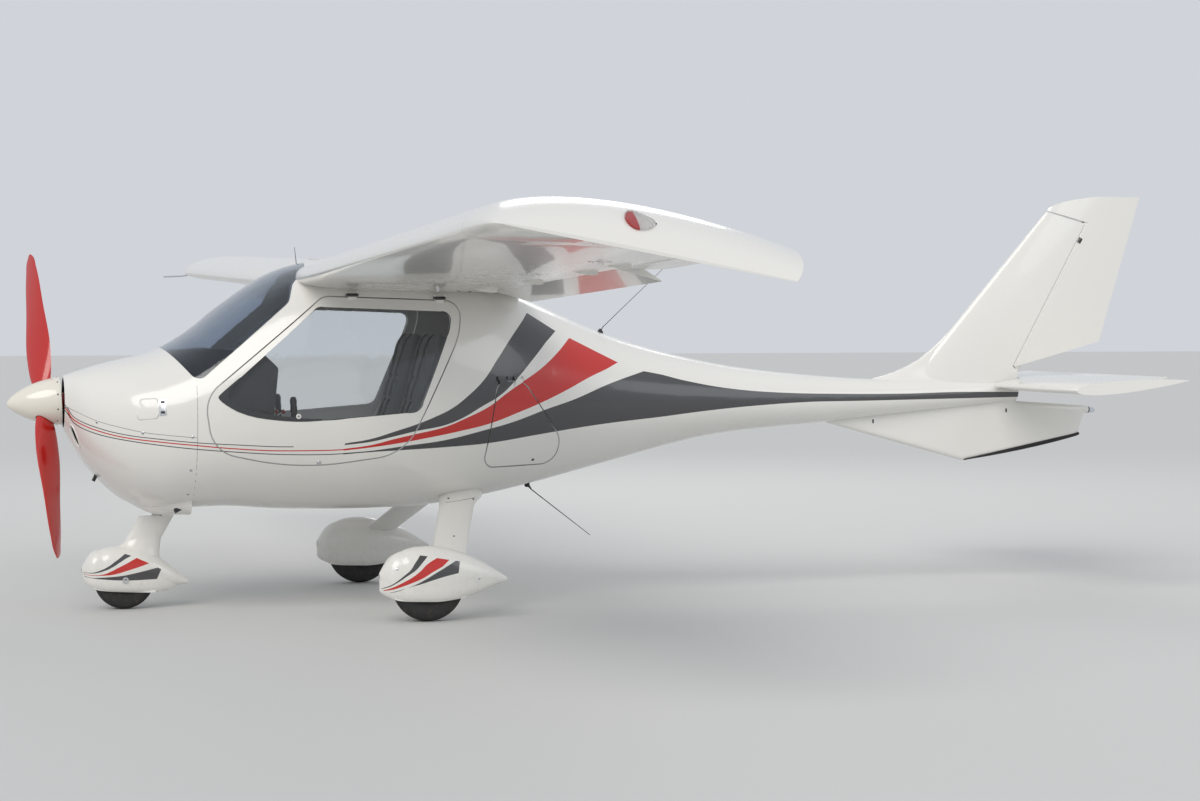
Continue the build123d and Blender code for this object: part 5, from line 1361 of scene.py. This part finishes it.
# Controls: sticks, pedals, throttle, choke and flap levers
GRIP = [(0.0125, 0.0), (0.0165, 0.015), (0.0150, 0.035), (0.0175, 0.060), (0.0160, 0.085), (0.0180, 0.105),
        (0.012, 0.122), (0, 0.126)]
BELLOWS = [(0.054, -0.004)] + [(0.052 - 0.005 * k + (0.004 if k % 2 else 0), 0.009 * k) for k in range(8)]
STICK_OUT = 0.27
for label, side in SIDES.items():
    y = side * STICK_OUT
    stick = smooth_path([(at(1.455), y, 0.655), (at(1.440), y, 0.75), (at(1.405), y, 0.86),
                         (at(1.395), y, 0.955)], 5)
    grip = lathe(GRIP, stick[-1] - Vector((0, 0, 0.01)), (-0.06, 0, 1), 20)
    add_piece("stick_" + label, tube(stick, 0.0095, 14), dark_steel_and_shade)
    add_piece("stick_grip_" + label, grip, trim_rubber)
    boot = lathe(BELLOWS, (at(1.455), y, 0.672), (-0.1, 0, 1), 28)
    add_piece("stick_boot_" + label, boot, side_cloth)
    pedals = []
    for shift in (-0.085, 0.085):
        base = Vector((at(1.045), y + shift * 0.9, 0.69))
        plate = [base + Vector((0.0, 0, 0.06)), base + Vector((-0.015, 0, 0.11)),
                 base + Vector((-0.038, 0, 0.17))]
        pedals.append(strap(plate, (1, 0, 0.3), 0.085, 0.006))
        pedals.append(tube([base + Vector((-0.01, 0, -0.03)), base + Vector((-0.006, 0, 0.10))], 0.009, 12))
        for rung in (0.075, 0.10, 0.125, 0.15):
            spot = base + Vector((0.007 - (rung - 0.06) * 0.36, 0, rung))
            pedals.append(tube([spot - Vector((0, 0.036, 0)), spot + Vector((0, 0.036, 0))], 0.003, 8))
    add_piece("pedals_" + label, merged(*pedals), dark_steel_and_shade)
levers, balls = [], []
for y, lean in ((-0.022, 0.03), (0.0, 0.0), (0.022, -0.02)):
    foot = Vector((at(1.262), y, 0.92))
    head = Vector((at(1.345 + lean), y, 0.985))
    levers.append(tube([foot, head], 0.004, 10))
    profile = [(0.0, -0.012), (0.008, -0.009), (0.0125, 0), (0.010, 0.008), (0, 0.012)]
    balls.append(lathe(profile, head, head - foot, 18))
add_piece("levers", merged(*levers), bright_steel)
add_piece("lever_knobs", merged(*balls), knob_red)

# Seats: padded cushions with stitched channels, and their belts
CLOTH_FRAMES = 20
SWELL_LIMIT = 0.014
STITCH_WIDE = 0.007
STITCH_DEEP = 0.008
SIDE_STITCH = 0.30
CROSS_STITCHES = (-0.30, -0.10, 0.10, 0.30)


def stuffed(name, centre, tilt, length, width, thick):
    """A slab swollen by cloth pressure, then sewn with channels, and its up and face directions. Its length
    runs up the tilt."""
    up = Vector((sin(tilt), 0, cos(tilt)))
    face = Vector((-cos(tilt), 0, sin(tilt)))
    mesh = bpy.data.meshes.new(name)
    work = bmesh.new()
    bmesh.ops.create_cube(work, size=1)
    bmesh.ops.bevel(work, geom=work.edges, offset=0.16, segments=4, profile=0.6, affect="EDGES")
    for vert in work.verts:
        u, v, w = vert.co
        crown = 1 - 0.35 * (2 * u) ** 2 - 0.25 * (2 * v) ** 4
        vert.co = Vector((0, 1, 0)) * u * width + up * v * length + face * w * thick * (0.75 + 0.25 * crown)
    work.to_mesh(mesh)
    work.free()
    made = bpy.data.objects.new(name, mesh)
    bpy.context.scene.collection.objects.link(made)
    made.modifiers.new("remesh", "REMESH").voxel_size = 0.011
    bake(made)
    start = [v.co.copy() for v in made.data.vertices]
    cloth = made.modifiers.new("cloth", "CLOTH")
    cloth.settings.quality = 5
    cloth.settings.mass = 0.3
    cloth.settings.use_pressure = True
    cloth.settings.uniform_pressure_force = 4.0
    cloth.settings.effector_weights.gravity = 0
    cloth.point_cache.frame_start = 1
    cloth.point_cache.frame_end = CLOTH_FRAMES
    for step in range(CLOTH_FRAMES):
        bpy.context.scene.frame_set(step + 1)
    bake(made)
    bpy.context.scene.frame_set(1)
    for vert, before in zip(made.data.vertices, start):
        move = vert.co - before
        if move.length > SWELL_LIMIT:
            vert.co = before + move * (SWELL_LIMIT / move.length)
    smooth = made.modifiers.new("subdivision", "SUBSURF")
    smooth.levels = 1
    bake(made)
    for vert in made.data.vertices:
        u = vert.co.y / width
        v = vert.co.dot(up) / length
        if vert.co.dot(face) > 0:
            dent = exp(-((abs(u) - SIDE_STITCH) * width / STITCH_WIDE) ** 2)
            if abs(u) < SIDE_STITCH:
                cross = sum(exp(-((v - line) * length / STITCH_WIDE) ** 2) for line in CROSS_STITCHES)
                dent = max(dent, cross)
            vert.co -= face * STITCH_DEEP * min(dent, 1.0)
        vert.co += centre
    for polygon in made.data.polygons:
        polygon.use_smooth = True
    return made, up, face


def bake(made):
    """Puts a piece's modifiers into its mesh."""
    graph = bpy.context.evaluated_depsgraph_get()
    mesh = bpy.data.meshes.new_from_object(made.evaluated_get(graph), depsgraph=graph)
    made.modifiers.clear()
    made.data = mesh


def mirrored_copy(source, name):
    """A copy of a piece on the other side of the plane of symmetry."""
    copy = bpy.data.objects.new(name, source.data.copy())
    bpy.context.scene.collection.objects.link(copy)
    for vert in copy.data.vertices:
        vert.co.y = -vert.co.y
    copy.data.flip_normals()
    return copy


SEAT_Y = -0.285
BACK_MIDDLE = Vector((at(2.030), SEAT_Y, 1.085))
BASE_MIDDLE = Vector((at(1.705), SEAT_Y, 0.727))
back, back_up, back_face = stuffed("seat_back_left", BACK_MIDDLE, radians(15.8), 0.640, 0.440, 0.070)
base, _, _ = stuffed("seat_base_left", BASE_MIDDLE, radians(99.5), 0.400, 0.440, 0.078)
for source, part in ((back, "seat_back"), (base, "seat_base")):
    source.data.materials.clear()
    source.data.materials.append(seat_cloth)
    copy = mirrored_copy(source, part + "_right")
    for made, label in ((source, "left"), (copy, "right")):
        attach(made, "airframe")
        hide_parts("seat_" + label)

SURFACES["seat"] = skin(back, base)


def over_seat(points, direction, width, lift=0.0015):
    """Webbing laid over the left seat along points that are cast onto it."""
    path, normals = [], []
    for point in smooth_path(points, 5):
        place, normal, _, _ = SURFACES["seat"].ray_cast(point - Vector(direction) * 0.3, Vector(direction))
        if place is None:
            continue
        path.append(place + normal * lift)
        normals.append(normal)
    return strap(path, normals, width, 0.0022)


BELT_WIDE = 0.046
belts = []
for out in (-0.085, 0.085):
    line = []
    for up in (0.30, 0.15, 0.0, -0.15, -0.27):
        line.append(BACK_MIDDLE + back_up * up + Vector((0, out * (0.55 + 0.45 * (up + 0.3) / 0.6), 0)))
    belts.append(over_seat(line, -back_face, BELT_WIDE))
lap = [Vector((at(1.86 - 0.02 * (1 - abs(k) / 4)), SEAT_Y + 0.05 * k, 0.9)) for k in range(-4, 5)]
belts.append(over_seat(lap, Vector((0, 0, -1)), BELT_WIDE, 0.004))
belts = merged(*belts)
point, normal, _, _ = SURFACES["seat"].ray_cast(Vector((at(1.842), SEAT_Y, 1.2)), Vector((0, 0, -1)))
profile = [(0.030, 0.002), (0.032, 0.006), (0.031, 0.016), (0.024, 0.020), (0, 0.0205)]
buckle = lathe(profile, point, normal, 28)
for label, side in SIDES.items():
    add_piece("belts_" + label, belts if side < 0 else mirrored(belts), webbing, slot="seat_" + label)
    add_piece("belt_buckle_" + label, buckle if side < 0 else mirrored(buckle), bright_steel)

# Floor and light
floor_mesh = bpy.data.meshes.new("floor")
FLOOR_HALF = 90
floor_corners = [(x * FLOOR_HALF, y * FLOOR_HALF, 0) for x, y in ((-1, -1), (1, -1), (1, 1), (-1, 1))]
floor_mesh.from_pydata(floor_corners, [], [[0, 1, 2, 3]])
floor = bpy.data.objects.new("floor", floor_mesh)
bpy.context.scene.collection.objects.link(floor)
floor_paint = finish("floor_paint", (0.62, 0.62, 0.61, 1), 0.75, dust=0.0, grain=3.0)
floor_mesh.materials.append(floor_paint)

world = bpy.data.worlds.new("studio")
bpy.context.scene.world = world
world.use_nodes = True
sky = world.node_tree.nodes["Background"]
sky.inputs["Color"].default_value = (0.90, 0.94, 1.0, 1)
rays = world.node_tree.nodes.new("ShaderNodeLightPath")
kinds = ("Is Camera Ray", "Is Transmission Ray", "Is Glossy Ray")
seen = join_masks(world.node_tree, [rays.outputs[kind] for kind in kinds])
world.node_tree.links.new(calc(world.node_tree, "MULTIPLY_ADD", seen, 0.08, 0.62), sky.inputs["Strength"])

sun = bpy.data.objects.new("sun", bpy.data.lights.new("sun", "SUN"))
bpy.context.scene.collection.objects.link(sun)
sun.data.energy = 1.45
sun.data.angle = radians(38)
sun.data.color = (1.0, 0.965, 0.91)
sun.rotation_euler = Vector((6.0, 8.0, -8.5)).to_track_quat("-Z", "Y").to_euler()

MIDDLE = Vector((0, 0, 1))


def lamp(name, place, size, power, colour):
    """A round lamp that looks at the aircraft's middle."""
    data = bpy.data.lights.new(name, "AREA")
    data.shape = "DISK"
    data.size = size
    data.energy = power
    data.color = colour
    made = bpy.data.objects.new(name, data)
    bpy.context.scene.collection.objects.link(made)
    made.location = place
    made.rotation_euler = (MIDDLE - Vector(place)).to_track_quat("-Z", "Y").to_euler()


lamp("fill", (7.0, -9.0, 5.5), 6.0, 110, (0.95, 0.97, 1.0))
lamp("rim", (3.0, 9.5, 7.5), 5.0, 160, (1.0, 0.98, 0.95))

bpy.context.scene.view_settings.view_transform = "Standard"
